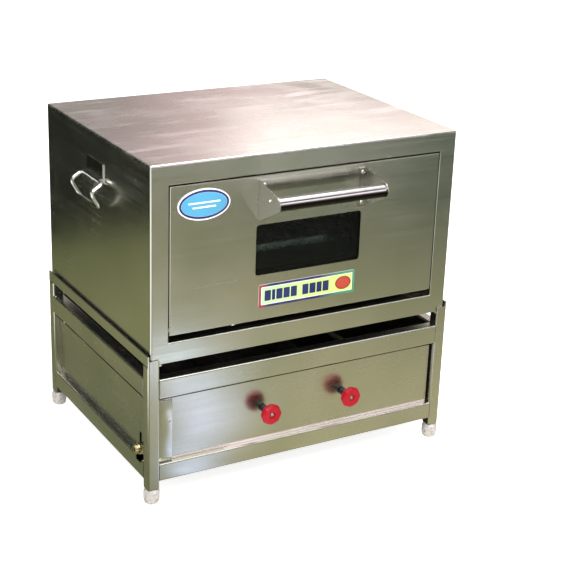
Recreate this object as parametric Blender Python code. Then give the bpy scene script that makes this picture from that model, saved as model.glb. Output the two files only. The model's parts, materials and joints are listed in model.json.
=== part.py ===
"""Gas deck oven: a sheet-steel oven box that sits on a four-legged burner stand.

Metres, +Z up. The front of the oven faces -Y and +X is to its right.
The origin is on the floor, under the middle of the whole object's box.
"""

import math

import bmesh
import bpy
from mathutils import Matrix, Vector

# ---------------------------------------------------------------- driving dimensions

GAP = 0.0003                    # air between pieces that touch

OVEN_WIDTH = 0.610
OVEN_DEPTH = 0.466
OVEN_BOTTOM = 0.2683
OVEN_TOP = 0.621
SKIN = 0.0012                   # casing sheet
TOP_SHEET = 0.0015
TOP_RIM = 0.0045                # how far the top sheet's edges turn down
CORNER_RADIUS = 0.003           # outside bends of the oven box
CORNER_RETURN = 0.007           # how far the face frame runs back round the box's front corners
FOLD_RADIUS = 0.0016            # outside bends of the door and of its opening
BEND_STEPS = 4

OPENING_HALF_WIDTH = 0.2716     # door opening in the face frame
OPENING_BOTTOM = 0.3043
OPENING_TOP = 0.5845
FRAME_RETURN = 0.025

VENTS = 8                       # slots along the bottom of the oven's rear panel
VENT_PITCH = 0.060
VENT_WIDTH = 0.040
VENT_BOTTOM = 0.284
VENT_TOP = 0.292

DOOR_SIDE_GAP = 0.0018
DOOR_TOP_GAP = 0.0026
DOOR_BOTTOM = 0.317
DOOR_THICKNESS = 0.030
HINGE_INSET = 0.008             # door pivot, in from the front face and up from the door's lower edge
HINGE_PIN_RADIUS = 0.004

WINDOW_HALF_WIDTH = 0.1063
WINDOW_BOTTOM = 0.4014
WINDOW_TOP = 0.494
WINDOW_CORNER = 0.006
GLASS_THICKNESS = 0.004

HANDLE_TUBE_RADIUS = 0.012
HANDLE_TUBE_WALL = 0.0015
HANDLE_STANDOFF = 0.0585        # door face to tube axis
HANDLE_HEIGHT = 0.547
HANDLE_LEFT = -0.1033           # outer faces of the two brackets
HANDLE_RIGHT = 0.1132
BRACKET_SHEET = 0.002
BRACKET_END_RADIUS = 0.0145     # round end of each bracket, on the tube's axis
BRACKET_TOP = 0.5745
BRACKET_BOTTOM = 0.5015
BRACKET_FLANGE = 0.017

CHAMBER_HALF_WIDTH = 0.250
CHAMBER_BOTTOM = 0.328
CHAMBER_TOP = 0.573
CHAMBER_FRONT_INSET = 0.034
CHAMBER_REAR_INSET = 0.055
CHAMBER_FLANGE = 0.034
HEARTH_THICKNESS = 0.015
SHELF_HEIGHT = 0.432
SHELF_FRONT_INSET = 0.064

POST_PROUD = 0.003              # legs stand this far in front of and behind the oven
STAND_WIDTH = 0.622
LEG_SIZE = 0.022
LEG_WALL = 0.0015
TUBE_CORNER = 0.003             # outside corners of the square and rectangular tubes
LEG_BOTTOM = 0.0295
LEG_TOP = 0.2647
LEG_LIP_TOP = 0.277
LEG_END_PLATE = 0.004
TOP_RAIL_BOTTOM = 0.203
TOP_RAIL_TOP = 0.240
BOTTOM_RAIL_BOTTOM = 0.044
BOTTOM_RAIL_TOP = 0.077
RAIL_WALL = 0.0015
PANEL_INSET = 0.0114            # burner and side panels, in from the rails' outer faces
PANEL_END_GAP = 0.004           # air beside the burner panel's right end
FRONT_PANEL_TOP = 0.1965
LEFT_PANEL_TOP = 0.1890
RIGHT_PANEL_TOP = TOP_RAIL_BOTTOM - GAP
REAR_PANEL_BOTTOM = 0.058
REAR_PANEL_TOP = 0.225
AIR_SLOT_XS = (-0.09, -0.03, 0.03, 0.09)        # upright slots in the rear panel
AIR_SLOT_WIDTH = 0.008
AIR_SLOT_BOTTOM = 0.105
AIR_SLOT_TOP = 0.165
SEAT_BOTTOM = 0.265
SEAT_TOP = 0.286
SEAT_THICKNESS = 0.003
SEAT_SHELF = 0.026

KNOB_XS = (-0.0785, 0.090)
KNOB_HEIGHT = 0.1396
KNOB_RADIUS = 0.0202
KNOB_DEPTH = 0.014
KNOB_FRONT = 0.0300             # knob face, in front of the oven's face
KNOB_LOBES = 8
SPINDLE_RADIUS = 0.004
SPINDLE_SLEEVE_RADIUS = 0.0072

MANIFOLD_HEIGHT = 0.088
MANIFOLD_INSET = 0.0496
MANIFOLD_RADIUS = 0.01065
MANIFOLD_WALL = 0.0026
PIPE_NOTCH_HALF = 0.0125        # opening round the pipe in the left panel
PIPE_NOTCH_DEPTH = 0.007        # notch in the rail below it
PIPE_SLIT_TOP = 0.1175
MANIFOLD_LEFT = -0.2985         # open end, just outside the left panel
NOZZLE_RADIUS = 0.011           # over the hexagon's corners

BURNER_RADIUS = 0.019
BURNER_THROAT = 0.013
BURNER_WALL = 0.0015
BURNER_PORTS = 13

FOOT_RADIUS = 0.0145
FOOT_STEM_RADIUS = 0.005
FOOT_STEM_TOP = 0.060

BAIL_WIRE_RADIUS = 0.003
BAIL_BEND_RADIUS = 0.0095
BAIL_PIVOT_OUT = 0.0057         # pivot axis, out from the oven's side
BAIL_PIVOT_HEIGHT = 0.541
BAIL_HALF_WIDTH = 0.046
BAIL_BOW_OUT = 0.0292
BAIL_BOW_HEIGHT = 0.5266
BAIL_GRIP_OUT = 0.0127
BAIL_GRIP_HEIGHT = 0.4974
BAIL_PLATE_HALF_WIDTH = 0.037
BAIL_PLATE_TOP = 0.572
BAIL_PLATE_SHEET = 0.0015
BAIL_BARREL_RADIUS = 0.0054
BAIL_BARREL_BORE = 0.0038

LABEL_HALF_WIDTH = 0.0984
LABEL_BOTTOM = 0.3404
LABEL_TOP = 0.3828
BADGE_CENTRE = (-0.2076, 0.5451)
BADGE_RADII = (0.049, 0.0275)

# ---------------------------------------------------------------- places that follow from them

OVEN_HALF = OVEN_WIDTH / 2
STAND_HALF = STAND_WIDTH / 2
HANDLE_REACH = HANDLE_STANDOFF + BRACKET_END_RADIUS + GAP
FOOT_OVERHANG = FOOT_RADIUS - LEG_SIZE / 2
TOTAL_DEPTH = HANDLE_REACH + OVEN_DEPTH + POST_PROUD + FOOT_OVERHANG
FRONT = -TOTAL_DEPTH / 2 + HANDLE_REACH         # the oven's front face
REAR = FRONT + OVEN_DEPTH
MID_Y = (FRONT + REAR) / 2
LEG_FRONT = FRONT - POST_PROUD
LEG_REAR = REAR + POST_PROUD
STAND_IN_X = STAND_HALF - LEG_SIZE              # inner faces of the legs and rails
STAND_IN_FRONT = LEG_FRONT + LEG_SIZE
STAND_IN_REAR = LEG_REAR - LEG_SIZE
PANEL_FRONT_Y = LEG_FRONT + PANEL_INSET         # outer face of the burner panel
PANEL_FRONT_BACK = PANEL_FRONT_Y + SKIN
PANEL_REAR_Y = STAND_IN_REAR - GAP
DOOR_HALF = OPENING_HALF_WIDTH - DOOR_SIDE_GAP
DOOR_TOP = OPENING_TOP - DOOR_TOP_GAP
HINGE_Y = FRONT + HINGE_INSET
HINGE_Z = DOOR_BOTTOM + HINGE_INSET
MANIFOLD_Y = FRONT + MANIFOLD_INSET
CHAMBER_FRONT = FRONT + CHAMBER_FRONT_INSET
CHAMBER_REAR = REAR - CHAMBER_REAR_INSET
LEFT, RIGHT = -1, 1
SIDES = (("left", LEFT), ("right", RIGHT))

# ---------------------------------------------------------------- materials

FINISHES = {
    "casing_steel": ((0.55, 0.54, 0.49), 0.32, 1.0),
    "door_steel": ((0.50, 0.49, 0.43), 0.30, 1.0),
    "stand_steel": ((0.50, 0.50, 0.44), 0.34, 1.0),
    "polished_steel": ((0.86, 0.86, 0.85), 0.10, 1.0),
    "dark_steel": ((0.08, 0.08, 0.08), 0.55, 0.9),
    "zinc_plated": ((0.72, 0.73, 0.74), 0.28, 1.0),
    "brass": ((0.78, 0.62, 0.32), 0.30, 1.0),
    "red_plastic": ((0.62, 0.02, 0.03), 0.22, 0.0),
    "black_plastic": ((0.02, 0.02, 0.02), 0.40, 0.0),
    "cast_iron": ((0.09, 0.09, 0.09), 0.75, 0.6),
    "smoked_glass": ((0.03, 0.035, 0.035), 0.05, 0.0),
    "hearth_stone": ((0.55, 0.50, 0.42), 0.90, 0.0),
    "mineral_wool": ((0.62, 0.56, 0.40), 0.95, 0.0),
    "label_print": ((0.66, 0.72, 0.20), 0.35, 0.0),
    "badge_print": ((0.35, 0.66, 0.85), 0.35, 0.0),
}


def finish(name):
    """Return the named Principled material, made the first time it is asked for."""
    if name in bpy.data.materials:
        return bpy.data.materials[name]
    colour, roughness, metallic = FINISHES[name]
    made = bpy.data.materials.new(name)
    made.use_nodes = True
    shader = made.node_tree.nodes["Principled BSDF"]
    shader.inputs["Base Color"].default_value = (*colour, 1.0)
    shader.inputs["Roughness"].default_value = roughness
    shader.inputs["Metallic"].default_value = metallic
    made.diffuse_color = (*colour, 1.0)
    return made


# ---------------------------------------------------------------- outlines (lists of 2-D points)

def rectangle(low_u, low_v, high_u, high_v):
    return [(low_u, low_v), (high_u, low_v), (high_u, high_v), (low_u, high_v)]


def arc(centre, radius, start, end, steps):
    """Points on an arc, angles in degrees, both ends included."""
    points = []
    for step in range(steps + 1):
        angle = math.radians(start + (end - start) * step / steps)
        points.append((centre[0] + radius * math.cos(angle), centre[1] + radius * math.sin(angle)))
    return points


def circle(centre, radius, steps):
    return arc(centre, radius, 0, 360, steps)[:-1]


def ellipse(centre, radii, steps):
    unit = circle((0, 0), 1, steps)
    return [(centre[0] + radii[0] * u, centre[1] + radii[1] * v) for u, v in unit]


def rounded_rectangle(low_u, low_v, high_u, high_v, radius, steps=4):
    points = arc((low_u + radius, low_v + radius), radius, 180, 270, steps)
    points += arc((high_u - radius, low_v + radius), radius, 270, 360, steps)
    points += arc((high_u - radius, high_v - radius), radius, 0, 90, steps)
    points += arc((low_u + radius, high_v - radius), radius, 90, 180, steps)
    return points


# ---------------------------------------------------------------- solids (bmesh)

def place(axis, u, v, along):
    """Put an outline point in space: u and v are the two other axes, in X, Y, Z order."""
    if axis == "X":
        return Vector((along, u, v))
    if axis == "Y":
        return Vector((u, along, v))
    return Vector((u, v, along))


def flat_face(mesh, axis, along, loops):
    """Fill an outline and its holes with triangles, and return the outline's vertices."""
    edges = []
    rings = []
    for loop in loops:
        ring = [mesh.verts.new(place(axis, u, v, along)) for u, v in loop]
        rings.append(ring)
        for first, second in zip(ring, ring[1:] + ring[:1]):
            edges.append(mesh.edges.new((first, second)))
    bmesh.ops.triangle_fill(mesh, edges=edges, use_beauty=True)
    return rings


def prism(axis, low, high, outline, holes=()):
    """An outline with holes, extruded along an axis from low to high."""
    mesh = bmesh.new()
    flat_face(mesh, axis, low, [outline, *holes])
    grown = bmesh.ops.extrude_face_region(mesh, geom=mesh.faces[:])
    moved = [item for item in grown["geom"] if isinstance(item, bmesh.types.BMVert)]
    bmesh.ops.translate(mesh, verts=moved, vec=place(axis, 0, 0, high - low))
    bmesh.ops.recalc_face_normals(mesh, faces=mesh.faces[:])
    return mesh


def box(low, high):
    return prism("Z", low[2], high[2], rectangle(low[0], low[1], high[0], high[1]))


def boxes(corner_pairs):
    """Several separate boxes in one mesh, for cutting."""
    together = bmesh.new()
    for low, high in corner_pairs:
        size = [high[i] - low[i] for i in range(3)]
        middle = [(high[i] + low[i]) / 2 for i in range(3)]
        matrix = Matrix.Translation(middle) @ Matrix.Diagonal((*size, 1))
        bmesh.ops.create_cube(together, size=1, matrix=matrix)
    return together


def turned(axis, centre, profile, steps, closed=False, shape=None):
    """Turn a profile of (radius, place along the axis) about an axis through centre.

    A closed profile's last point joins its first; an open one starts and ends on the axis.
    Two neighbouring points on the axis are the outside and inside of an end wall.
    shape gives each radius a factor by angle, for lobes.
    """
    mesh = bmesh.new()
    rings = []
    for radius, along in profile:
        if radius == 0:
            rings.append([mesh.verts.new(place(axis, centre[0], centre[1], along))])
            continue
        ring = []
        for step in range(steps):
            angle = 2 * math.pi * step / steps
            reach = radius if shape is None else radius * shape(radius, angle)
            u = centre[0] + reach * math.cos(angle)
            v = centre[1] + reach * math.sin(angle)
            ring.append(mesh.verts.new(place(axis, u, v, along)))
        rings.append(ring)
    pairs = list(zip(rings, rings[1:]))
    if closed:
        pairs.append((rings[-1], rings[0]))
    for first, second in pairs:
        if len(first) == len(second) == 1:
            continue
        for step in range(steps):
            following = (step + 1) % steps
            corners = [first[step % len(first)], first[following % len(first)],
                       second[following % len(second)], second[step % len(second)]]
            mesh.faces.new(list(dict.fromkeys(corners)))
    bmesh.ops.recalc_face_normals(mesh, faces=mesh.faces[:])
    return mesh


def cylinder(axis, centre, radius, low, high, steps=20):
    return turned(axis, centre, [(0, low), (radius, low), (radius, high), (0, high)], steps)


# ---------------------------------------------------------------- objects

def add_object(name, mesh, finish_name, origin=(0, 0, 0)):
    """Make an object from a mesh in world coordinates, with its own origin."""
    bmesh.ops.translate(mesh, verts=mesh.verts[:], vec=-Vector(origin))
    data = bpy.data.meshes.new(name)
    mesh.to_mesh(data)
    mesh.free()
    data.materials.append(finish(finish_name))
    made = bpy.data.objects.new(name, data)
    made.location = origin
    bpy.context.scene.collection.objects.link(made)
    return made


def combine(target, mesh, operation):
    """Cut a mesh from an object, or join it on, with a hidden helper object."""
    count = len(target.modifiers)
    data = bpy.data.meshes.new(f"{target.name}_helper_{count}")
    mesh.to_mesh(data)
    mesh.free()
    helper = bpy.data.objects.new(data.name, data)
    helper.display_type = "WIRE"
    helper.hide_render = True
    bpy.context.scene.collection.objects.link(helper)
    modifier = target.modifiers.new(helper.name, "BOOLEAN")
    modifier.operation = operation
    modifier.solver = "EXACT"
    modifier.object = helper


def cut(target, mesh):
    combine(target, mesh, "DIFFERENCE")


def join(target, mesh):
    combine(target, mesh, "UNION")


def thicken(target, thickness):
    """Give folded sheet its thickness on the side away from its face normals."""
    modifier = target.modifiers.new("sheet", "SOLIDIFY")
    modifier.thickness = thickness
    modifier.offset = -1
    modifier.use_even_offset = True


def smooth(target, angle=35):
    target.data.shade_smooth()
    target.data.set_sharp_from_angle(angle=math.radians(angle))


def tube_along(name, points, radius, finish_name, origin):
    """A round bar along a list of points, with closed ends."""
    curve = bpy.data.curves.new(name, "CURVE")
    curve.dimensions = "3D"
    curve.bevel_depth = radius
    curve.bevel_resolution = 2
    curve.use_fill_caps = True
    curve.materials.append(finish(finish_name))
    spline = curve.splines.new("POLY")
    spline.points.add(len(points) - 1)
    for target, point in zip(spline.points, points):
        target.co = (*(Vector(point) - Vector(origin)), 1)
    made = bpy.data.objects.new(name, curve)
    made.location = origin
    bpy.context.scene.collection.objects.link(made)
    return made


def bent_path(corners, radius, steps=4):
    """Round the inner corners of a path of straight runs."""
    path = [Vector(corners[0])]
    for before, corner, after in zip(corners, corners[1:], corners[2:]):
        before, corner, after = Vector(before), Vector(corner), Vector(after)
        into = (before - corner).normalized()
        out = (after - corner).normalized()
        half = into.angle(out) / 2
        reach = radius / math.tan(half)
        start = corner + into * reach
        end = corner + out * reach
        for step in range(steps + 1):
            t = step / steps
            path.append(start * (1 - t) ** 2 + corner * 2 * t * (1 - t) + end * t ** 2)
    path.append(Vector(corners[-1]))
    return path


# ---------------------------------------------------------------- stand

def add_legs():
    """Square tubes with a welded end plate, and a lip that stops the oven sliding off."""
    for end, front_plane, inward in (("front", LEG_FRONT, 1), ("rear", LEG_REAR, -1)):
        for side, sign in SIDES:
            xs = sorted((sign * STAND_HALF, sign * STAND_IN_X))
            ys = sorted((front_plane, front_plane + inward * LEG_SIZE))
            outline = rounded_rectangle(xs[0], ys[0], xs[1], ys[1], TUBE_CORNER, 3)
            tube = prism("Z", LEG_BOTTOM, LEG_LIP_TOP, outline)
            leg = add_object(f"leg_{end}_{side}", tube, "stand_steel")
            bore_low = (xs[0] + LEG_WALL, ys[0] + LEG_WALL, LEG_BOTTOM + LEG_END_PLATE)
            bore_high = (xs[1] - LEG_WALL, ys[1] - LEG_WALL, LEG_LIP_TOP + 0.01)
            cut(leg, box(bore_low, bore_high))
            behind_lip = sorted((front_plane + inward * LEG_WALL, front_plane + inward * 2 * LEG_SIZE))
            above_low = (xs[0] - 0.01, behind_lip[0], LEG_TOP)
            above_high = (xs[1] + 0.01, behind_lip[1], LEG_LIP_TOP + 0.02)
            cut(leg, box(above_low, above_high))
            centre = ((xs[0] + xs[1]) / 2, (ys[0] + ys[1]) / 2)
            cut(leg, cylinder("Z", centre, FOOT_STEM_RADIUS + GAP, LEG_BOTTOM - 0.01, LEG_BOTTOM + 0.01, 16))


def add_feet():
    """Bullet feet whose threaded stems screw into the legs' end plates."""
    profile = [
        (0, 0), (0.0105, 0), (0.0128, 0.0025), (FOOT_RADIUS, 0.010), (FOOT_RADIUS, 0.0235),
        (0.0125, 0.0275), (0.0085, 0.029), (FOOT_STEM_RADIUS, 0.029), (FOOT_STEM_RADIUS, FOOT_STEM_TOP),
        (0, FOOT_STEM_TOP),
    ]
    for end, plane, inward in (("front", LEG_FRONT, 1), ("rear", LEG_REAR, -1)):
        for side, sign in SIDES:
            x = sign * (STAND_HALF - LEG_SIZE / 2)
            y = plane + inward * LEG_SIZE / 2
            mesh = turned("Z", (x, y), profile, 20)
            foot = add_object(f"foot_{end}_{side}", mesh, "zinc_plated", (x, y, 0))
            smooth(foot)


def add_rails():
    """Rectangular tubes between the legs, at the top and near the floor."""
    heights = (("top", TOP_RAIL_BOTTOM, TOP_RAIL_TOP), ("bottom", BOTTOM_RAIL_BOTTOM, BOTTOM_RAIL_TOP))
    for level, low, high in heights:
        for end, outer, inner in (("front", LEG_FRONT, STAND_IN_FRONT), ("rear", LEG_REAR, STAND_IN_REAR)):
            ys = sorted((outer, inner))
            outline = rounded_rectangle(ys[0], low, ys[1], high, TUBE_CORNER, 3)
            hole = rectangle(ys[0] + RAIL_WALL, low + RAIL_WALL, ys[1] - RAIL_WALL, high - RAIL_WALL)
            rail = prism("X", -STAND_IN_X + GAP, STAND_IN_X - GAP, outline, [hole])
            add_object(f"{level}_rail_{end}", rail, "stand_steel")
        for side, sign in SIDES:
            xs = sorted((sign * STAND_HALF, sign * STAND_IN_X))
            outline = rounded_rectangle(xs[0], low, xs[1], high, TUBE_CORNER, 3)
            hole = rectangle(xs[0] + RAIL_WALL, low + RAIL_WALL, xs[1] - RAIL_WALL, high - RAIL_WALL)
            rail = prism("Y", STAND_IN_FRONT + GAP, STAND_IN_REAR - GAP, outline, [hole])
            add_object(f"{level}_rail_{side}", rail, "stand_steel")


def add_stand_panels():
    """Front sheet between the rails with holes for the spindles, rear sheet behind them with air slots."""
    left = -STAND_IN_X + GAP
    outline = rectangle(left, BOTTOM_RAIL_TOP + GAP, STAND_IN_X - PANEL_END_GAP, FRONT_PANEL_TOP)
    spindle_holes = [circle((x, KNOB_HEIGHT), 0.006, 16) for x in KNOB_XS]
    front = prism("Y", PANEL_FRONT_Y, PANEL_FRONT_BACK, outline, spindle_holes)
    add_object("burner_panel", front, "stand_steel")

    half = AIR_SLOT_WIDTH / 2
    air_slots = []
    for x in AIR_SLOT_XS:
        slot = rounded_rectangle(x - half, AIR_SLOT_BOTTOM, x + half, AIR_SLOT_TOP, 0.98 * half, 3)
        air_slots.append(slot)
    outline = rectangle(left, REAR_PANEL_BOTTOM, STAND_IN_X - GAP, REAR_PANEL_TOP)
    rear = prism("Y", PANEL_REAR_Y - SKIN, PANEL_REAR_Y, outline, air_slots)
    add_object("stand_rear_panel", rear, "stand_steel")


def add_stand_side_panels():
    """Sheets set in between the side rails; the left one and its rail are notched for the gas pipe."""
    low_y = STAND_IN_FRONT + GAP
    high_y = STAND_IN_REAR - GAP
    for (side, sign), top in zip(SIDES, (LEFT_PANEL_TOP, RIGHT_PANEL_TOP)):
        outline = rectangle(low_y, BOTTOM_RAIL_TOP + GAP, high_y, top)
        xs = sorted((sign * (STAND_HALF - PANEL_INSET), sign * (STAND_HALF - PANEL_INSET - SKIN)))
        add_object(f"stand_{side}_panel", prism("X", xs[0], xs[1], outline), "stand_steel")

    left_panel = bpy.data.objects["stand_left_panel"]
    around_pipe = rounded_rectangle(
        MANIFOLD_Y - PIPE_NOTCH_HALF, BOTTOM_RAIL_TOP - 0.02, MANIFOLD_Y + PIPE_NOTCH_HALF,
        MANIFOLD_HEIGHT + PIPE_NOTCH_HALF, PIPE_NOTCH_HALF - 0.001,
    )
    cut(left_panel, prism("X", -STAND_HALF, -STAND_IN_X, around_pipe))
    slit_y = MANIFOLD_Y + 0.0005
    cut(left_panel, box((-STAND_HALF, slit_y, MANIFOLD_HEIGHT), (-STAND_IN_X, slit_y + 0.009, PIPE_SLIT_TOP)))
    left_rail = bpy.data.objects["bottom_rail_left"]
    notch_low = (-STAND_HALF - 0.01, MANIFOLD_Y - 0.022, BOTTOM_RAIL_TOP - PIPE_NOTCH_DEPTH)
    notch_high = (-STAND_IN_X + 0.01, MANIFOLD_Y + 0.001, BOTTOM_RAIL_TOP + 0.01)
    cut(left_rail, box(notch_low, notch_high))


def add_stand_bottom():
    """Sheet that closes the stand between the bottom rails, under the rear panel's lower edge."""
    top = REAR_PANEL_BOTTOM - GAP
    low = (-STAND_IN_X + GAP, STAND_IN_FRONT + GAP, top - SKIN)
    sheet = box(low, (STAND_IN_X - GAP, PANEL_REAR_Y, top))
    add_object("stand_bottom_sheet", sheet, "dark_steel")


def add_oven_seats():
    """Angles along the two sides of the stand that the oven's edges sit in."""
    for side, sign in SIDES:
        outer = sign * STAND_HALF
        wall = sign * (STAND_HALF - SEAT_THICKNESS)
        inner = sign * (STAND_HALF - SEAT_SHELF)
        shelf_top = SEAT_BOTTOM + SEAT_THICKNESS
        heel = arc((STAND_HALF - SEAT_THICKNESS, shelf_top), SEAT_THICKNESS, 270, 360, BEND_STEPS)
        outline = [(sign * x, z) for x, z in heel]
        outline += [(outer, SEAT_TOP), (wall, SEAT_TOP), (wall, shelf_top)]
        outline += [(inner, shelf_top), (inner, SEAT_BOTTOM)]
        seat = prism("Y", LEG_FRONT + LEG_WALL + GAP, LEG_REAR - LEG_WALL - GAP, outline)
        add_object(f"oven_seat_{side}", seat, "stand_steel")


def add_gas_line():
    """Manifold pipe across the stand and the brass inlet that a hose pushes onto."""
    start = MANIFOLD_LEFT
    end = KNOB_XS[1] + 0.036
    inner = MANIFOLD_RADIUS - MANIFOLD_WALL
    profile = [(inner, start), (MANIFOLD_RADIUS, start), (MANIFOLD_RADIUS, end), (0, end),
               (0, end - MANIFOLD_WALL), (inner, end - MANIFOLD_WALL)]
    centre = (MANIFOLD_Y, MANIFOLD_HEIGHT)
    pipe = add_object("gas_manifold", turned("X", centre, profile, 20, closed=True), "dark_steel")
    smooth(pipe)

    face = start - GAP
    bore = 0.004
    nut = [(bore, face), (NOZZLE_RADIUS, face), (NOZZLE_RADIUS, face - 0.0075), (bore, face - 0.0075)]
    nozzle = add_object("hose_nozzle", turned("X", centre, nut, 6, closed=True), "brass")
    collar = [(bore, face - 0.007), (0.0092, face - 0.007), (0.0092, face - 0.0105), (0.0078, face - 0.0118),
              (0.0090, face - 0.0130), (0.0072, face - 0.0156), (bore, face - 0.0156)]
    join(nozzle, turned("X", centre, collar, 18, closed=True))


def add_valves_and_burners():
    """One brass valve, spindle, knob and tube burner for each flame row."""
    for (side, _), x in zip(SIDES, KNOB_XS):
        add_valve(side, x)
        add_spindle(side, x)
        add_knob(side, x)
        add_burner(side, x)


def add_valve(side, x):
    """Valve body on the manifold: gland nut in front, injector at the rear, blind bore for the spindle."""
    front = PANEL_FRONT_BACK + 0.001
    bore = SPINDLE_RADIUS + GAP
    profile = [
        (0, front + 0.020), (bore, front + 0.020), (bore, front), (0.0085, front), (0.0085, front + 0.009),
        (0.0115, front + 0.0105), (0.0115, front + 0.050), (0.006, front + 0.053), (0.006, front + 0.064),
        (0.0025, front + 0.067), (0, front + 0.067),
    ]
    centre = (x, KNOB_HEIGHT)
    valve = add_object(f"gas_valve_{side}", turned("Y", centre, profile, 18), "brass")
    neck_bottom = MANIFOLD_HEIGHT + MANIFOLD_RADIUS + GAP
    join(valve, cylinder("Z", (x, MANIFOLD_Y), 0.0075, neck_bottom, KNOB_HEIGHT - 0.004, 16))
    smooth(valve)


def add_spindle(side, x):
    """Black sleeve between knob and panel, on the thin spindle that turns in the valve."""
    knob_back = FRONT - KNOB_FRONT + KNOB_DEPTH
    sleeve_end = PANEL_FRONT_Y - 0.002
    spindle_end = PANEL_FRONT_BACK + 0.018
    profile = [
        (0, knob_back - 0.0075), (SPINDLE_RADIUS, knob_back - 0.0075), (SPINDLE_RADIUS, knob_back + GAP),
        (SPINDLE_SLEEVE_RADIUS, knob_back + GAP), (SPINDLE_SLEEVE_RADIUS, sleeve_end),
        (SPINDLE_RADIUS, sleeve_end), (SPINDLE_RADIUS, spindle_end), (0, spindle_end),
    ]
    origin = (x, knob_back, KNOB_HEIGHT)
    mesh = turned("Y", (x, KNOB_HEIGHT), profile, 16)
    spindle = add_object(f"valve_spindle_{side}", mesh, "black_plastic", origin)
    smooth(spindle)


def add_knob(side, x):
    """Lobed hand wheel: a rounded ring round a sunk centre, with a blind bore for the spindle."""
    face = FRONT - KNOB_FRONT
    back = face + KNOB_DEPTH
    bore = SPINDLE_RADIUS + GAP

    def lobes(radius, angle):
        depth = 0.05 if radius > 0.6 * KNOB_RADIUS else 0.0
        return 1 - depth * (0.5 - 0.5 * math.cos(KNOB_LOBES * angle))

    profile = [
        (0, face + 0.004), (0.0045, face + 0.004), (0.0055, face + 0.0012), (0.0085, face),
        (0.80 * KNOB_RADIUS, face + 0.0006), (0.94 * KNOB_RADIUS, face + 0.0030),
        (KNOB_RADIUS, face + 0.0070), (0.94 * KNOB_RADIUS, back - 0.0030),
        (0.78 * KNOB_RADIUS, back - 0.0004), (0.010, back), (bore, back),
        (bore, back - 0.008), (0, back - 0.008),
    ]
    origin = (x, face, KNOB_HEIGHT)
    mesh = turned("Y", (x, KNOB_HEIGHT), profile, 32, shape=lobes)
    knob = add_object(f"burner_knob_{side}", mesh, "red_plastic", origin)
    smooth(knob, 50)


def add_burner(side, x):
    """Tube burner: open flared mouth, throat, long barrel with ports on top, tab at the closed end."""
    mouth = PANEL_FRONT_BACK + 0.060
    tail = PANEL_REAR_Y - SKIN - GAP
    inner = BURNER_RADIUS - BURNER_WALL
    throat = BURNER_THROAT - BURNER_WALL
    outer_profile = [
        (BURNER_RADIUS, mouth), (BURNER_THROAT, mouth + 0.022), (BURNER_THROAT, mouth + 0.040),
        (BURNER_RADIUS, mouth + 0.065), (BURNER_RADIUS, tail - 0.002), (0, tail - 0.002),
    ]
    inner_profile = [
        (0, tail - 0.004), (inner, tail - 0.004), (inner, mouth + 0.065),
        (throat, mouth + 0.040), (throat, mouth + 0.022), (inner, mouth),
    ]
    centre = (x, KNOB_HEIGHT)
    shell = turned("Y", centre, outer_profile + inner_profile, 20, closed=True)
    burner = add_object(f"burner_tube_{side}", shell, "cast_iron")
    tab = box((x - 0.014, tail - 0.003, KNOB_HEIGHT - 0.030), (x + 0.014, tail, KNOB_HEIGHT + 0.022))
    join(burner, tab)
    first_port = mouth + 0.085
    pitch = (tail - 0.020 - first_port) / (BURNER_PORTS - 1)
    ports = []
    for number in range(BURNER_PORTS):
        y = first_port + pitch * number
        low = (x - 0.010, y - 0.0015, KNOB_HEIGHT + 0.005)
        high = (x + 0.010, y + 0.0015, KNOB_HEIGHT + 0.03)
        ports.append((low, high))
    cut(burner, boxes(ports))
    smooth(burner)


# ---------------------------------------------------------------- oven box

def add_casing():
    """Top, side, rear and base sheets."""
    add_top_cover()
    side_top = OVEN_TOP - TOP_RIM - GAP
    for side, sign in SIDES:
        xs = sorted((sign * OVEN_HALF, sign * (OVEN_HALF - SKIN)))
        sheet = box((xs[0], FRONT + CORNER_RETURN + GAP, OVEN_BOTTOM), (xs[1], REAR - SKIN - GAP, side_top))
        add_object(f"oven_side_{side}", sheet, "casing_steel")

    half = VENT_WIDTH / 2
    vents = []
    for number in range(VENTS):
        x = VENT_PITCH * (number - (VENTS - 1) / 2)
        vent = rounded_rectangle(x - half, VENT_BOTTOM, x + half, VENT_TOP, 0.0039, 3)
        vents.append(vent)
    rear = prism("Y", REAR - SKIN, REAR, rectangle(-OVEN_HALF, OVEN_BOTTOM, OVEN_HALF, side_top), vents)
    add_object("oven_rear_panel", rear, "casing_steel")

    inside = OVEN_HALF - SKIN - GAP
    outline = rectangle(-inside, FRONT + CORNER_RADIUS, inside, REAR - SKIN - GAP)
    flame_openings = [rectangle(x - 0.055, FRONT + 0.080, x + 0.055, REAR - 0.070) for x in KNOB_XS]
    base = prism("Z", OVEN_BOTTOM, OVEN_BOTTOM + SKIN, outline, flame_openings)
    add_object("oven_base_plate", base, "dark_steel")


def add_top_cover():
    """Top sheet with its edges rolled a little way down the box."""
    low = Vector((-OVEN_HALF, FRONT, OVEN_TOP - TOP_RIM))
    high = Vector((OVEN_HALF, REAR, OVEN_TOP))
    mesh = box(low, high)
    rolled = []
    for edge in mesh.edges:
        is_corner = edge.calc_face_angle(0) > 1
        is_top = all(vertex.co.z > high.z - GAP for vertex in edge.verts)
        is_front_upright = (all(vertex.co.y < low.y + GAP for vertex in edge.verts)
                            and edge.verts[0].co.z != edge.verts[1].co.z)
        if is_corner and (is_top or is_front_upright):
            rolled.append(edge)
    bmesh.ops.bevel(mesh, geom=rolled, offset=CORNER_RADIUS, segments=BEND_STEPS, profile=0.5, affect="EDGES")
    cover = add_object("oven_top_cover", mesh, "casing_steel")
    wall = Vector((TOP_SHEET, TOP_SHEET, 0))
    cut(cover, box(low + wall - Vector((0, 0, 0.01)), high - wall - Vector((0, 0, TOP_SHEET))))


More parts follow.
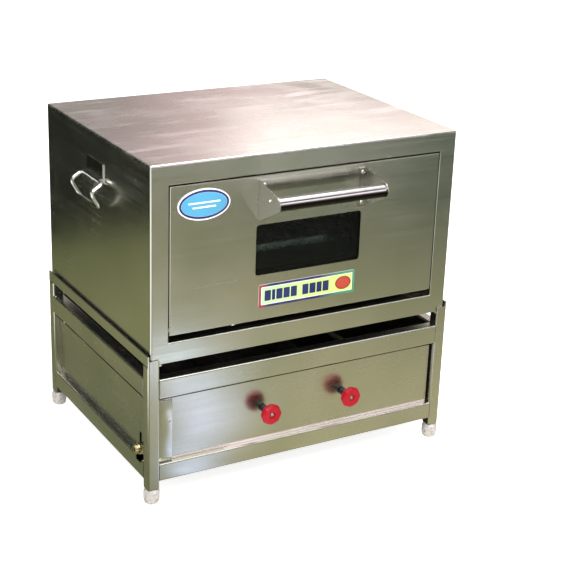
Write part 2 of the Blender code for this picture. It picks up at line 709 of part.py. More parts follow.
def add_face_frame():
    """Front sheet round the door, folded back inside the opening and round the box's two front corners.

    The hinge pins turn in its folds at both sides of the opening.
    """
    mesh = bmesh.new()
    top = OVEN_TOP - TOP_RIM - GAP
    sheet = rectangle(-OVEN_HALF + CORNER_RADIUS, OVEN_BOTTOM, OVEN_HALF - CORNER_RADIUS, top)
    opening = rectangle(-OPENING_HALF_WIDTH - FOLD_RADIUS, OPENING_BOTTOM - FOLD_RADIUS,
                        OPENING_HALF_WIDTH + FOLD_RADIUS, OPENING_TOP + FOLD_RADIUS)
    rings = flat_face(mesh, "Y", FRONT, [sheet, opening])
    fold_back(mesh, rings[1], FRAME_RETURN, FOLD_RADIUS, -1)
    low_left, low_right, high_right, high_left = rings[0]
    roll_corner(mesh, [low_left, high_left], LEFT)
    roll_corner(mesh, [low_right, high_right], RIGHT)
    turn_normals_from(mesh, Vector((0, -1, 0)))
    frame = add_object("face_frame", mesh, "casing_steel")
    thicken(frame, SKIN)
    for _, sign in SIDES:
        ends = sorted((sign * (OPENING_HALF_WIDTH - 0.010), sign * (OPENING_HALF_WIDTH + 0.010)))
        cut(frame, cylinder("X", (HINGE_Y, HINGE_Z), HINGE_PIN_RADIUS + GAP, ends[0], ends[1], 16))


def bend(radius):
    """Points round a bend that starts flat: how far out and how far back (+Y) each one is."""
    points = []
    for step in range(1, BEND_STEPS + 1):
        angle = math.radians(90 * step / BEND_STEPS)
        points.append((radius * math.sin(angle), radius * (1 - math.cos(angle))))
    return points


def fold_back(mesh, ring, depth, radius=0, growth=1):
    """Fold a flange back (+Y) from a rectangular ring, round a bend that makes the ring larger or smaller.

    Returns the ring at the flange's rear edge.
    """
    middle = sum((vertex.co for vertex in ring), Vector()) / len(ring)
    stages = [(radius, depth)]
    if radius:
        stages = bend(radius) + stages
    previous = ring
    for out, back in stages:
        following = []
        for vertex in ring:
            along_x = growth * math.copysign(out, vertex.co.x - middle.x)
            along_z = growth * math.copysign(out, vertex.co.z - middle.z)
            following.append(mesh.verts.new(vertex.co + Vector((along_x, back, along_z))))
        connect(mesh, previous, following)
        previous = following
    return previous


def connect(mesh, first, second, closed=True):
    """Quads between two rows of vertices with the same number in each."""
    count = len(first)
    for index in range(count if closed else count - 1):
        following = (index + 1) % count
        mesh.faces.new((first[index], first[following], second[following], second[index]))


def roll_corner(mesh, edge, sign):
    """Roll an upright edge of the front sheet back round the box's corner."""
    previous = edge
    for out, back in [*bend(CORNER_RADIUS), (CORNER_RADIUS, CORNER_RETURN)]:
        following = [mesh.verts.new(vertex.co + Vector((sign * out, back, 0))) for vertex in edge]
        connect(mesh, previous, following, closed=False)
        previous = following


def turn_normals_from(mesh, direction):
    """Make the sheet's faces consistent, with its front face looking along direction."""
    bmesh.ops.recalc_face_normals(mesh, faces=mesh.faces[:])
    front = max(mesh.faces, key=lambda face: abs(face.normal.dot(direction)) * face.calc_area())
    if front.normal.dot(direction) < 0:
        bmesh.ops.reverse_faces(mesh, faces=mesh.faces[:])


def add_chamber():
    """Liner, insulation blanket, hearth stone, shelf and its runners."""
    mesh = bmesh.new()
    mouth = rectangle(-CHAMBER_HALF_WIDTH, CHAMBER_BOTTOM, CHAMBER_HALF_WIDTH, CHAMBER_TOP)
    flange = rectangle(-CHAMBER_HALF_WIDTH - CHAMBER_FLANGE, CHAMBER_BOTTOM - 0.011,
                       CHAMBER_HALF_WIDTH + CHAMBER_FLANGE, CHAMBER_TOP + 0.022)
    rings = flat_face(mesh, "Y", CHAMBER_FRONT, [flange, mouth])
    mesh.faces.new(fold_back(mesh, rings[1], CHAMBER_REAR - CHAMBER_FRONT))
    turn_normals_from(mesh, Vector((0, -1, 0)))
    liner = add_object("chamber_liner", mesh, "dark_steel")
    thicken(liner, SKIN)

    wool_low = (-OVEN_HALF + 0.005, CHAMBER_FRONT + 0.004, 0.315)
    wool_high = (OVEN_HALF - 0.005, REAR - 0.005, OVEN_TOP - 0.006)
    wool = add_object("insulation_blanket", box(wool_low, wool_high), "mineral_wool")
    clearance = 0.0025
    room_low = (-CHAMBER_HALF_WIDTH - clearance, wool_low[1] - 0.01, wool_low[2] - 0.01)
    room_high = (CHAMBER_HALF_WIDTH + clearance, CHAMBER_REAR + clearance, CHAMBER_TOP + clearance)
    cut(wool, box(room_low, room_high))

    outline = rounded_rectangle(-CHAMBER_HALF_WIDTH + 0.003, CHAMBER_FRONT + 0.004,
                                CHAMBER_HALF_WIDTH - 0.003, CHAMBER_REAR - 0.003, 0.004, 2)
    stone_bottom = CHAMBER_BOTTOM + GAP
    stone = prism("Z", stone_bottom, stone_bottom + HEARTH_THICKNESS, outline)
    add_object("hearth_stone", stone, "hearth_stone")

    add_shelf()


def add_shelf():
    """Sheet shelf with a turned-down front lip, resting on an angle at each side."""
    half = CHAMBER_HALF_WIDTH - 0.003
    front = FRONT + SHELF_FRONT_INSET
    rear = CHAMBER_REAR - 0.006
    lip = 0.012
    outline = [(front, SHELF_HEIGHT - lip), (front + SKIN, SHELF_HEIGHT - lip), (front + SKIN, SHELF_HEIGHT),
               (rear, SHELF_HEIGHT), (rear, SHELF_HEIGHT + SKIN), (front, SHELF_HEIGHT + SKIN)]
    add_object("upper_shelf", prism("X", -half, half, outline), "dark_steel")
    for side, sign in SIDES:
        wall = sign * (CHAMBER_HALF_WIDTH - GAP)
        wall_in = sign * (CHAMBER_HALF_WIDTH - GAP - SKIN)
        inner = sign * (CHAMBER_HALF_WIDTH - 0.015)
        top = SHELF_HEIGHT - GAP
        angle = [(wall, top), (wall, top - 0.015), (wall_in, top - 0.015), (wall_in, top - SKIN),
                 (inner, top - SKIN), (inner, top)]
        add_object(f"shelf_runner_{side}", prism("Y", front + 0.004, rear, angle), "dark_steel")


# ---------------------------------------------------------------- door

def add_door():
    """Folded outer pan with its window, flat inner skin, glass, its retainer and the hinge pins."""
    window = rounded_rectangle(-WINDOW_HALF_WIDTH, WINDOW_BOTTOM,
                               WINDOW_HALF_WIDTH, WINDOW_TOP, WINDOW_CORNER)
    leaf = rectangle(-DOOR_HALF, DOOR_BOTTOM, DOOR_HALF, DOOR_TOP)
    flat = rectangle(-DOOR_HALF + FOLD_RADIUS, DOOR_BOTTOM + FOLD_RADIUS,
                     DOOR_HALF - FOLD_RADIUS, DOOR_TOP - FOLD_RADIUS)
    mesh = bmesh.new()
    rings = flat_face(mesh, "Y", FRONT, [flat, window])
    fold_back(mesh, rings[0], DOOR_THICKNESS - SKIN - GAP, FOLD_RADIUS)
    turn_normals_from(mesh, Vector((0, -1, 0)))
    hinge = (0, HINGE_Y, HINGE_Z)
    pan = add_object("door_outer_skin", mesh, "door_steel", hinge)
    thicken(pan, SKIN)
    for _, sign in SIDES:
        ends = sorted((sign * (DOOR_HALF - 0.010), sign * (DOOR_HALF + 0.010)))
        cut(pan, cylinder("X", (HINGE_Y, HINGE_Z), HINGE_PIN_RADIUS + GAP, ends[0], ends[1], 16))

    back = FRONT + DOOR_THICKNESS
    add_object("door_inner_skin", prism("Y", back - SKIN, back, leaf, [window]), "dark_steel", hinge)

    pane_y = FRONT + SKIN + GAP
    pane = around_window(0.011)
    add_object("window_glass", prism("Y", pane_y, pane_y + GLASS_THICKNESS, pane), "smoked_glass", hinge)

    ring_y = pane_y + GLASS_THICKNESS + GAP
    ring = prism("Y", ring_y, ring_y + SKIN, around_window(0.023), [around_window(-0.002)])
    add_object("glass_retainer", ring, "dark_steel", hinge)

    for side, sign in SIDES:
        ends = sorted((sign * (DOOR_HALF - 0.009), sign * (OPENING_HALF_WIDTH + 0.009)))
        mesh = cylinder("X", (HINGE_Y, HINGE_Z), HINGE_PIN_RADIUS, ends[0], ends[1], 16)
        pin = add_object(f"door_hinge_pin_{side}", mesh, "zinc_plated", hinge)
        smooth(pin)


def around_window(margin):
    """Outline of the window, larger by a margin all round."""
    return rectangle(-WINDOW_HALF_WIDTH - margin, WINDOW_BOTTOM - margin,
                     WINDOW_HALF_WIDTH + margin, WINDOW_TOP + margin)


def bracket_outline():
    """Side view of a handle bracket: a wide foot at the door, tapering to a round end on the tube's axis."""
    foot = FRONT - GAP
    centre = Vector((foot - HANDLE_STANDOFF, HANDLE_HEIGHT))
    radius = BRACKET_END_RADIUS
    top = Vector((foot, BRACKET_TOP))
    bottom = Vector((foot, BRACKET_BOTTOM))
    to_top = top - centre
    to_bottom = bottom - centre
    upper = math.degrees(math.atan2(to_top.y, to_top.x) + math.acos(radius / to_top.length))
    lower = math.degrees(math.atan2(to_bottom.y, to_bottom.x) - math.acos(radius / to_bottom.length)) + 360
    return [tuple(bottom), tuple(top), *arc(centre, radius, upper, lower, 10)]


def add_handle():
    """Two folded brackets screwed to the door, with a round tube between them."""
    hinge = (0, HINGE_Y, HINGE_Z)
    foot = FRONT - GAP
    for side, outer, inward in (("left", HANDLE_LEFT, 1), ("right", HANDLE_RIGHT, -1)):
        plate = sorted((outer, outer + inward * BRACKET_SHEET))
        flange = sorted((outer, outer + inward * BRACKET_FLANGE))
        mesh = prism("X", plate[0], plate[1], bracket_outline())
        bracket = add_object(f"handle_bracket_{side}", mesh, "polished_steel", hinge)
        flange_low = (flange[0], foot - BRACKET_SHEET, BRACKET_BOTTOM + 0.001)
        join(bracket, box(flange_low, (flange[1], foot, BRACKET_TOP - 0.001)))
    low = HANDLE_LEFT + BRACKET_SHEET + GAP
    high = HANDLE_RIGHT - BRACKET_SHEET - GAP
    inner = HANDLE_TUBE_RADIUS - HANDLE_TUBE_WALL
    profile = [(inner, low), (HANDLE_TUBE_RADIUS, low), (HANDLE_TUBE_RADIUS, high), (inner, high)]
    mesh = turned("X", (foot - HANDLE_STANDOFF, HANDLE_HEIGHT), profile, 28, closed=True)
    tube = add_object("handle_tube", mesh, "polished_steel", hinge)
    smooth(tube)


def add_door_trim():
    """Blank printed plate under the window and a blank oval badge."""
    hinge = (0, HINGE_Y, HINGE_Z)
    face = FRONT - GAP
    label = rounded_rectangle(-LABEL_HALF_WIDTH, LABEL_BOTTOM, LABEL_HALF_WIDTH, LABEL_TOP, 0.002, 2)
    add_object("front_label_plate", prism("Y", face - 0.0008, face, label), "label_print", hinge)
    badge = ellipse(BADGE_CENTRE, BADGE_RADII, 32)
    add_object("oval_badge", prism("Y", face - 0.0012, face, badge), "badge_print", hinge)


# ---------------------------------------------------------------- lifting handles

def add_side_handles():
    """A rolled plate on each side of the oven, with a wire bail hanging in its barrel."""
    wall = OVEN_HALF + GAP
    face = wall + BAIL_PLATE_SHEET
    pivot = OVEN_HALF + BAIL_PIVOT_OUT
    curl_start = math.degrees(math.acos((face - pivot) / BAIL_BARREL_RADIUS))
    curl_end = -math.degrees(math.acos((wall - pivot) / BAIL_BARREL_RADIUS))
    profile = [(wall, BAIL_PLATE_TOP), (face, BAIL_PLATE_TOP)]
    profile += arc((pivot, BAIL_PIVOT_HEIGHT), BAIL_BARREL_RADIUS, curl_start, curl_end, 14)
    for side, sign in SIDES:
        outline = [(sign * u, v) for u, v in profile]
        bore = [(sign * u, v) for u, v in circle((pivot, BAIL_PIVOT_HEIGHT), BAIL_BARREL_BORE, 16)]
        plate = prism("Y", MID_Y - BAIL_PLATE_HALF_WIDTH, MID_Y + BAIL_PLATE_HALF_WIDTH, outline, [bore])
        add_object(f"side_handle_plate_{side}", plate, "polished_steel")
        add_bail(side, sign)


def add_bail(side, sign):
    """Bowed wire bail: both ends turn in the plate's barrel, the grip hangs at the bottom."""
    pivot = sign * (OVEN_HALF + BAIL_PIVOT_OUT)
    bow = sign * (OVEN_HALF + BAIL_BOW_OUT)
    grip = sign * (OVEN_HALF + BAIL_GRIP_OUT)
    near = MID_Y - BAIL_HALF_WIDTH
    far = MID_Y + BAIL_HALF_WIDTH
    tucked = BAIL_HALF_WIDTH - BAIL_PLATE_HALF_WIDTH + 0.010
    corners = [
        (pivot, near + tucked, BAIL_PIVOT_HEIGHT),
        (pivot, near, BAIL_PIVOT_HEIGHT),
        (bow, near, BAIL_BOW_HEIGHT),
        (grip, near, BAIL_GRIP_HEIGHT),
        (grip, far, BAIL_GRIP_HEIGHT),
        (bow, far, BAIL_BOW_HEIGHT),
        (pivot, far, BAIL_PIVOT_HEIGHT),
        (pivot, far - tucked, BAIL_PIVOT_HEIGHT),
    ]
    path = bent_path(corners, BAIL_BEND_RADIUS, 5)
    origin = (pivot, MID_Y, BAIL_PIVOT_HEIGHT)
    tube_along(f"side_handle_bail_{side}", path, BAIL_WIRE_RADIUS, "polished_steel", origin)


# ---------------------------------------------------------------- build

def build():
    for old in list(bpy.data.objects):
        bpy.data.objects.remove(old, do_unlink=True)
    add_legs()
    add_feet()
    add_rails()
    add_stand_panels()
    add_stand_side_panels()
    add_stand_bottom()
    add_oven_seats()
    add_gas_line()
    add_valves_and_burners()
    add_casing()
    add_face_frame()
    add_chamber()
    add_door()
    add_handle()
    add_door_trim()
    add_side_handles()


build()
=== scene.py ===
"""Looks for the gas deck oven: finishes, small fittings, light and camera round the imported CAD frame.

Metres, +Z up. The front of the oven faces -Y and +X is to its right.
"""

import json
import math

import bmesh
import bpy
from mathutils import Matrix, Vector, noise


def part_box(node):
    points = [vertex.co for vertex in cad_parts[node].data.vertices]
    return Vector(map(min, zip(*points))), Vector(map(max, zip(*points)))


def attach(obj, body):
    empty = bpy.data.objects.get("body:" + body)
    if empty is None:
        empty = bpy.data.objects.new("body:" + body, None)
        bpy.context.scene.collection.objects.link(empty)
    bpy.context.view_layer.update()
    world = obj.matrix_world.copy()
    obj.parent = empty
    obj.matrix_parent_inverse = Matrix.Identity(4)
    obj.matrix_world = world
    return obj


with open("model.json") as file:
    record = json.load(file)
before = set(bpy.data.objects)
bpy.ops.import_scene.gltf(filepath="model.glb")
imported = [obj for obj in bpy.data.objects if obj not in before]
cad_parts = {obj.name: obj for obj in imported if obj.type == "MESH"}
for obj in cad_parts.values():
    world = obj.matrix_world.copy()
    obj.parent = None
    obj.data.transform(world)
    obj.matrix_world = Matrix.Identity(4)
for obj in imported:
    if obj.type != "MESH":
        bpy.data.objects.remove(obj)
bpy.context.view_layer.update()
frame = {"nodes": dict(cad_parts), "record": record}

FACE_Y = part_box("face_frame")[0].y
SIDES = (("left", -1), ("right", 1))


# ---------------------------------------------------------------- node trees

class Finish:
    """One material's node tree, with a short call for each kind of node."""

    def __init__(self, name):
        self.material = bpy.data.materials.new(name)
        self.material.use_nodes = True
        self.tree = self.material.node_tree
        self.shader = self.tree.nodes["Principled BSDF"]
        self.places = self.node("TexCoord").outputs["Object"]

    def node(self, kind, **settings):
        made = self.tree.nodes.new("ShaderNode" + kind)
        for key, value in settings.items():
            setattr(made, key, value)
        return made

    def feed(self, socket, value):
        if isinstance(value, bpy.types.NodeSocket):
            self.tree.links.new(value, socket)
        elif isinstance(value, (tuple, list)) and len(value) == 3 and socket.type == "RGBA":
            socket.default_value = (*value, 1.0)
        else:
            socket.default_value = value

    def set(self, **values):
        """Set or link the shader's own sockets; Base_Color stands for 'Base Color'."""
        for key, value in values.items():
            self.feed(self.shader.inputs[key.replace("_", " ")], value)

    def stretched(self, scale, turn=(0, 0, 0)):
        made = self.node("Mapping")
        self.feed(made.inputs["Vector"], self.places)
        made.inputs["Scale"].default_value = scale
        made.inputs["Rotation"].default_value = turn
        return made.outputs["Vector"]

    def noise(self, scale, detail, roughness, vector=None, distortion=0.0):
        made = self.node("TexNoise")
        self.feed(made.inputs["Vector"], vector or self.places)
        made.inputs["Scale"].default_value = scale
        made.inputs["Detail"].default_value = detail
        made.inputs["Roughness"].default_value = roughness
        made.inputs["Distortion"].default_value = distortion
        return made.outputs["Fac"]

    def cells(self, scale):
        made = self.node("TexVoronoi")
        self.feed(made.inputs["Vector"], self.places)
        made.inputs["Scale"].default_value = scale
        return made.outputs["Distance"]

    def spread(self, value, low, high, new_low=0.0, new_high=1.0):
        """Stretch a value's range low..high to new_low..new_high, clamped."""
        made = self.node("MapRange")
        self.feed(made.inputs["Value"], value)
        made.inputs["From Min"].default_value = low
        made.inputs["From Max"].default_value = high
        made.inputs["To Min"].default_value = new_low
        made.inputs["To Max"].default_value = new_high
        return made.outputs["Result"]

    def total(self, first, second):
        made = self.node("Math", operation="ADD")
        self.feed(made.inputs[0], first)
        self.feed(made.inputs[1], second)
        return made.outputs["Value"]

    def axis(self, name):
        made = self.node("SeparateXYZ")
        self.feed(made.inputs["Vector"], self.places)
        return made.outputs[name]

    def blend(self, share, first, second):
        made = self.node("Mix", data_type="RGBA")
        colours = [socket for socket in made.inputs if socket.type == "RGBA"]
        self.feed(made.inputs["Factor"], share)
        self.feed(colours[0], first)
        self.feed(colours[1], second)
        return next(socket for socket in made.outputs if socket.type == "RGBA")

    def bump(self, height, distance, strength, over=None):
        made = self.node("Bump")
        made.inputs["Strength"].default_value = strength
        made.inputs["Distance"].default_value = distance
        self.feed(made.inputs["Height"], height)
        if over is not None:
            self.feed(made.inputs["Normal"], over)
        return made.outputs["Normal"]


def steel(name, colour, roughness, grain="X", streaks=0.12, smears=0.03, scuffs=0.0):
    """Mill-finished stainless sheet: fine grain along one axis, smears, slow waves, optional scuffs."""
    made = Finish(name)
    along = {"X": (3, 160, 160), "Y": (160, 3, 160), "Z": (160, 160, 3)}[grain]
    fine = {"X": (14, 1400, 1400), "Y": (1400, 14, 1400), "Z": (1400, 1400, 14)}[grain]
    streak = made.noise(1.0, 3, 0.5, made.stretched(along))
    hairs = made.noise(1.0, 2, 0.5, made.stretched(fine))
    cloud = made.noise(5.0, 2, 0.5, distortion=0.4)
    smear = made.noise(9.0, 3, 0.5, distortion=0.6)
    darker = tuple(value * 0.88 for value in colour)
    lighter = tuple(min(1.0, value * 1.06) for value in colour)
    greener = (darker[0] * 0.97, darker[1] * 1.02, darker[2] * 0.96)
    tone = made.blend(made.spread(cloud, 0.3, 0.7), greener, lighter)
    tone = made.blend(made.spread(streak, 0.35, 0.65, 0.0, streaks), tone, darker)
    rough = made.spread(smear, 0.35, 0.7, roughness - smears * 0.5, roughness + smears)
    rough = made.total(rough, made.spread(streak, 0.3, 0.7, -0.03, 0.04))
    if scuffs:
        scratch = made.noise(1.0, 4, 0.6, made.stretched((5, 26, 26), (0, 0, 0.1)), distortion=0.4)
        mark = made.spread(scratch, 0.56, 0.66, 0.0, scuffs)
        tone = made.blend(mark, tone, (0.86, 0.84, 0.83))
        rough = made.total(rough, made.spread(scratch, 0.5, 0.68, 0.0, 0.09))
    surface = made.bump(cloud, 0.0004, 1.0)
    surface = made.bump(hairs, 0.00003, 0.6, surface)
    made.set(Base_Color=tone, Roughness=rough, Metallic=1.0, Normal=surface)
    return made.material


def plain_metal(name, colour, roughness, scale, depth, dirt):
    """Plated, cast or turned metal with blotches and a light bump."""
    made = Finish(name)
    blotch = made.noise(scale, 5, 0.6)
    darker = tuple(value * (1 - dirt) for value in colour)
    made.set(
        Base_Color=made.blend(made.spread(blotch, 0.3, 0.7), darker, colour),
        Roughness=made.spread(blotch, 0.3, 0.75, roughness * 0.8, roughness * 1.3),
        Metallic=1.0,
        Normal=made.bump(blotch, depth, 0.5),
    )
    return made.material


def worn_plating(name, colour, roughness):
    """Dull white-bloomed plating, part metal and part chalky film."""
    made = Finish(name)
    film = made.noise(160, 5, 0.6)
    darker = tuple(value * 0.72 for value in colour)
    made.set(
        Base_Color=made.blend(made.spread(film, 0.35, 0.65), darker, colour),
        Roughness=made.spread(film, 0.3, 0.7, roughness * 0.7, roughness * 1.4),
        Metallic=0.45,
        Normal=made.bump(film, 0.0001, 0.5),
    )
    return made.material


def painted_shade_tube(name, node):
    """Polished tube with painted shade: its colour turns near black below the tube's middle, a painted dark
    underside.
    """
    made = Finish(name)
    low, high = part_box(node)
    middle = (low.z + high.z) / 2 - frame["nodes"][node].matrix_world.translation.z
    blotch = made.noise(60, 3, 0.5)
    clean = made.blend(made.spread(blotch, 0.3, 0.7), (0.38, 0.38, 0.36), (0.46, 0.46, 0.45))
    # Painted shade: near black below the tube's middle, clean polished steel above it.
    share = made.spread(made.axis("Z"), middle + 0.001, middle + 0.007)
    made.set(
        Base_Color=made.blend(share, (0.020, 0.019, 0.016), clean),
        Roughness=made.spread(blotch, 0.3, 0.75, 0.12, 0.18),
        Metallic=1.0,
    )
    return made.material


def oven_iron(name, colour, roughness, rust=0.25):
    """Dark heat-stained sheet or cast iron."""
    made = Finish(name)
    stain = made.noise(14, 6, 0.65, distortion=0.8)
    speck = made.noise(260, 3, 0.6)
    tone = made.blend(made.spread(stain, 0.45, 0.75, 0.0, rust), colour, (0.10, 0.055, 0.03))
    made.set(
        Base_Color=tone,
        Roughness=made.spread(stain, 0.3, 0.7, roughness - 0.1, roughness + 0.12),
        Metallic=0.6,
        Normal=made.bump(speck, 0.0002, 0.5),
    )
    return made.material


def moulded(name, colour, roughness):
    """Moulded plastic with a fine texture, a thin gloss coat and faint wear."""
    made = Finish(name)
    wear = made.noise(40, 5, 0.6)
    texture = made.noise(500, 2, 0.5)
    faded = tuple(min(1.0, value * 1.25 + 0.01) for value in colour)
    made.set(
        Base_Color=made.blend(made.spread(wear, 0.45, 0.8, 0.0, 0.5), colour, faded),
        Roughness=made.spread(wear, 0.3, 0.7, roughness * 0.85, roughness * 1.2),
        Normal=made.bump(texture, 0.00005, 0.4),
    )
    made.shader.inputs["Coat Weight"].default_value = 0.1
    made.shader.inputs["Coat Roughness"].default_value = 0.08
    made.shader.inputs["Specular IOR Level"].default_value = 0.2
    return made.material


def smoked_glass():
    made = Finish("smoked_glass_look")
    film = made.noise(18, 5, 0.6, distortion=1.0)
    made.set(
        Base_Color=made.blend(film, (0.155, 0.18, 0.17), (0.185, 0.215, 0.20)),
        Roughness=made.spread(film, 0.4, 0.7, 0.03, 0.09),
        IOR=1.25,
    )
    made.shader.inputs["Transmission Weight"].default_value = 1.0
    made.shader.inputs["Specular IOR Level"].default_value = 0.08
    return made.material


def stone():
    made = Finish("hearth_stone_look")
    mottle = made.noise(35, 6, 0.65)
    pits = made.cells(420)
    char = made.noise(6, 4, 0.5, distortion=1.0)
    tone = made.blend(mottle, (0.42, 0.36, 0.28), (0.62, 0.56, 0.46))
    tone = made.blend(made.spread(char, 0.5, 0.8, 0.0, 0.6), tone, (0.16, 0.12, 0.09))
    made.set(Base_Color=tone, Roughness=0.9, Normal=made.bump(pits, 0.0006, 0.5))
    return made.material


def wool(name, colour, scale=180):
    made = Finish(name)
    fibre = made.noise(scale, 6, 0.7, distortion=2.0)
    dark = tuple(value * 0.55 for value in colour)
    tone = made.blend(fibre, dark, colour)
    made.set(Base_Color=tone, Roughness=0.95, Normal=made.bump(fibre, 0.001, 0.8))
    return made.material


PRINT_ROUGHNESS = 0.35


def ink(name, colour):
    """Printed film: a flat print with slight fading and fine dust."""
    made = Finish(name)
    fade = made.noise(30, 4, 0.6)
    dust = made.noise(600, 2, 0.5)
    faded = tuple(value * 0.9 + 0.03 for value in colour)
    made.set(
        Base_Color=made.blend(made.spread(fade, 0.35, 0.8, 0.0, 0.45), colour, faded),
        Roughness=made.spread(fade, 0.3, 0.7, PRINT_ROUGHNESS * 0.8, PRINT_ROUGHNESS * 1.2),
        Normal=made.bump(dust, 0.00003, 0.3),
    )
    return made.material


def ink_run(name, first, second, low, high):
    """Printed film whose colour runs along X from first to second."""
    made = Finish(name)
    share = made.spread(made.axis("X"), low, high)
    fade = made.noise(30, 4, 0.6)
    tone = made.blend(share, first, second)
    tone = made.blend(made.spread(fade, 0.4, 0.8, 0.0, 0.10), tone, (0.6, 0.6, 0.55))
    made.set(Base_Color=tone, Roughness=PRINT_ROUGHNESS)
    return made.material


STEEL = (0.60, 0.585, 0.53)
LOOKS = {
    "casing_steel": steel("casing_steel_look", STEEL, 0.22),
    "casing_side": steel("casing_side_look", STEEL, 0.22, grain="Y"),
    "door_steel": steel("door_steel_look", STEEL, 0.21),
    "stand_steel": steel("stand_steel_look", STEEL, 0.24),
    "stand_side": steel("stand_side_look", STEEL, 0.24, grain="Y"),
    "leg_steel": steel("leg_steel_look", STEEL, 0.24, grain="Z"),
    "top_steel": steel("top_steel_look", (0.72, 0.69, 0.67), 0.24, scuffs=0.3, streaks=0.15, smears=0.08),
    "polished_steel": plain_metal("polished_steel_look", (0.72, 0.72, 0.70), 0.12, 90, 0.00005, 0.12),
    "bracket_steel": plain_metal("bracket_steel_look", (0.43, 0.42, 0.375), 0.24, 30, 0.00003, 0.10),
    # The handle tube's look carries painted shade on its underside.
    "painted_shade_tube": painted_shade_tube("handle_tube_look", "handle_tube"),
    "shelf_steel": plain_metal("shelf_steel_look", (0.88, 0.88, 0.84), 0.26, 90, 0.0001, 0.12),
    "foot_plating": worn_plating("foot_plating_look", (0.74, 0.70, 0.68), 0.30),
    "dark_steel": oven_iron("dark_steel_look", (0.035, 0.036, 0.036), 0.55),
    "brass": plain_metal("brass_look", (0.83, 0.74, 0.44), 0.25, 90, 0.0001, 0.25),
    "knob_red": moulded("knob_red_look", (0.32, 0.001, 0.009), 0.34),
    "black_plastic": moulded("black_plastic_look", (0.012, 0.012, 0.012), 0.35),
    "burner_iron": oven_iron("burner_iron_look", (0.05, 0.047, 0.044), 0.7, 0.6),
    "smoked_glass": smoked_glass(),
    "hearth_stone": stone(),
    "mineral_wool": wool("mineral_wool_look", (0.62, 0.56, 0.38)),
    "label_print": ink("label_back_look", (0.80, 0.82, 0.80)),
    "badge_print": ink("badge_white_look", (0.86, 0.88, 0.90)),
    "screw_steel": plain_metal("screw_steel_look", (0.74, 0.74, 0.72), 0.22, 300, 0.00006, 0.25),
    "weld_steel": plain_metal("weld_steel_look", (0.46, 0.45, 0.42), 0.38, 500, 0.0003, 0.35),
    "gasket": wool("gasket_look", (0.20, 0.19, 0.17), 420),
}

# Nodes whose look isn't the one of their slot: grain along the sheet's own length, worn metal, or painted
# shade on the handle tube's underside.
OWN_LOOKS = {
    "oven_side_left": "casing_side",
    "oven_side_right": "casing_side",
    "stand_left_panel": "stand_side",
    "stand_right_panel": "stand_side",
    "top_rail_left": "stand_side",
    "top_rail_right": "stand_side",
    "bottom_rail_left": "stand_side",
    "bottom_rail_right": "stand_side",
    "oven_seat_left": "stand_side",
    "oven_seat_right": "stand_side",
    "leg_front_left": "leg_steel",
    "leg_front_right": "leg_steel",
    "leg_rear_left": "leg_steel",
    "leg_rear_right": "leg_steel",
    "oven_top_cover": "top_steel",
    "handle_tube": "painted_shade_tube",
    "handle_bracket_left": "bracket_steel",
    "handle_bracket_right": "bracket_steel",
    "upper_shelf": "shelf_steel",
}


def dress_frame():
    """Give every CAD node the look of its slot, or its own look where it has one."""
    slot_of = {part["node"]: part["material_slot"] for part in frame["record"]["subparts"]}
    for name, node in frame["nodes"].items():
        look = LOOKS[OWN_LOOKS.get(name, slot_of[name])]
        for slot in node.material_slots:
            slot.material = look


# ---------------------------------------------------------------- pieces

def piece(name, mesh, look, body, smooth_angle=40):
    """Link a bmesh as a visible piece that rides on a body; look is a material or its name in LOOKS."""
    data = bpy.data.meshes.new(name)
    mesh.to_mesh(data)
    mesh.free()
    data.materials.append(LOOKS[look] if isinstance(look, str) else look)
    data.shade_smooth()
    data.set_sharp_from_angle(angle=math.radians(smooth_angle))
    made = bpy.data.objects.new(name, data)
    bpy.context.scene.collection.objects.link(made)
    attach(made, body)


def frame_of(normal):
    """A turn that takes +Z to the given direction."""
    return Vector(normal).to_track_quat("Z", "Y").to_matrix().to_4x4()


def turned(profile, steps):
    """Turn a profile of (radius, height) about Z."""
    mesh = bmesh.new()
    rings = []
    for radius, height in profile:
        if radius == 0:
            rings.append([mesh.verts.new((0, 0, height))])
            continue
        angles = [2 * math.pi * step / steps for step in range(steps)]
        rings.append([mesh.verts.new((radius * math.cos(a), radius * math.sin(a), height)) for a in angles])
    for first, second in zip(rings, rings[1:]):
        for step in range(steps):
            corners = [first[step % len(first)], first[(step + 1) % steps % len(first)],
                       second[(step + 1) % steps % len(second)], second[step % len(second)]]
            mesh.faces.new(list(dict.fromkeys(corners)))
    bmesh.ops.recalc_face_normals(mesh, faces=mesh.faces[:])
    return mesh


def cross_screw(radius):
    """Pan-head screw with a cross recess pressed into its crown; its seat is at Z = 0."""
    height = radius * 0.62
    profile = [(radius, 0)]
    for step in range(7):
        angle = math.radians(90 * step / 6)
        profile.append((radius * (0.35 + 0.65 * math.cos(angle)), height * (0.35 + 0.65 * math.sin(angle))))
    profile += [(radius * 0.2, height * 1.01), (0, height * 1.01)]
    mesh = turned(profile, 32)
    for vertex in mesh.verts:
        if vertex.co.z < height * 0.9:
            continue
        reach = math.hypot(vertex.co.x, vertex.co.y)
        nearest = min(abs(vertex.co.x), abs(vertex.co.y))
        if reach < radius * 0.62 and nearest < radius * 0.14:
            vertex.co.z -= height * 0.5
    return mesh


def add_screw(name, place, normal, radius, body, turn):
    """A screw whose seat is at place and whose head faces along normal, turned by an angle in radians."""
    mesh = cross_screw(radius)
    mesh.transform(Matrix.Translation(place) @ frame_of(normal) @ Matrix.Rotation(turn, 4, "Z"))
    piece(name, mesh, "screw_steel", body)


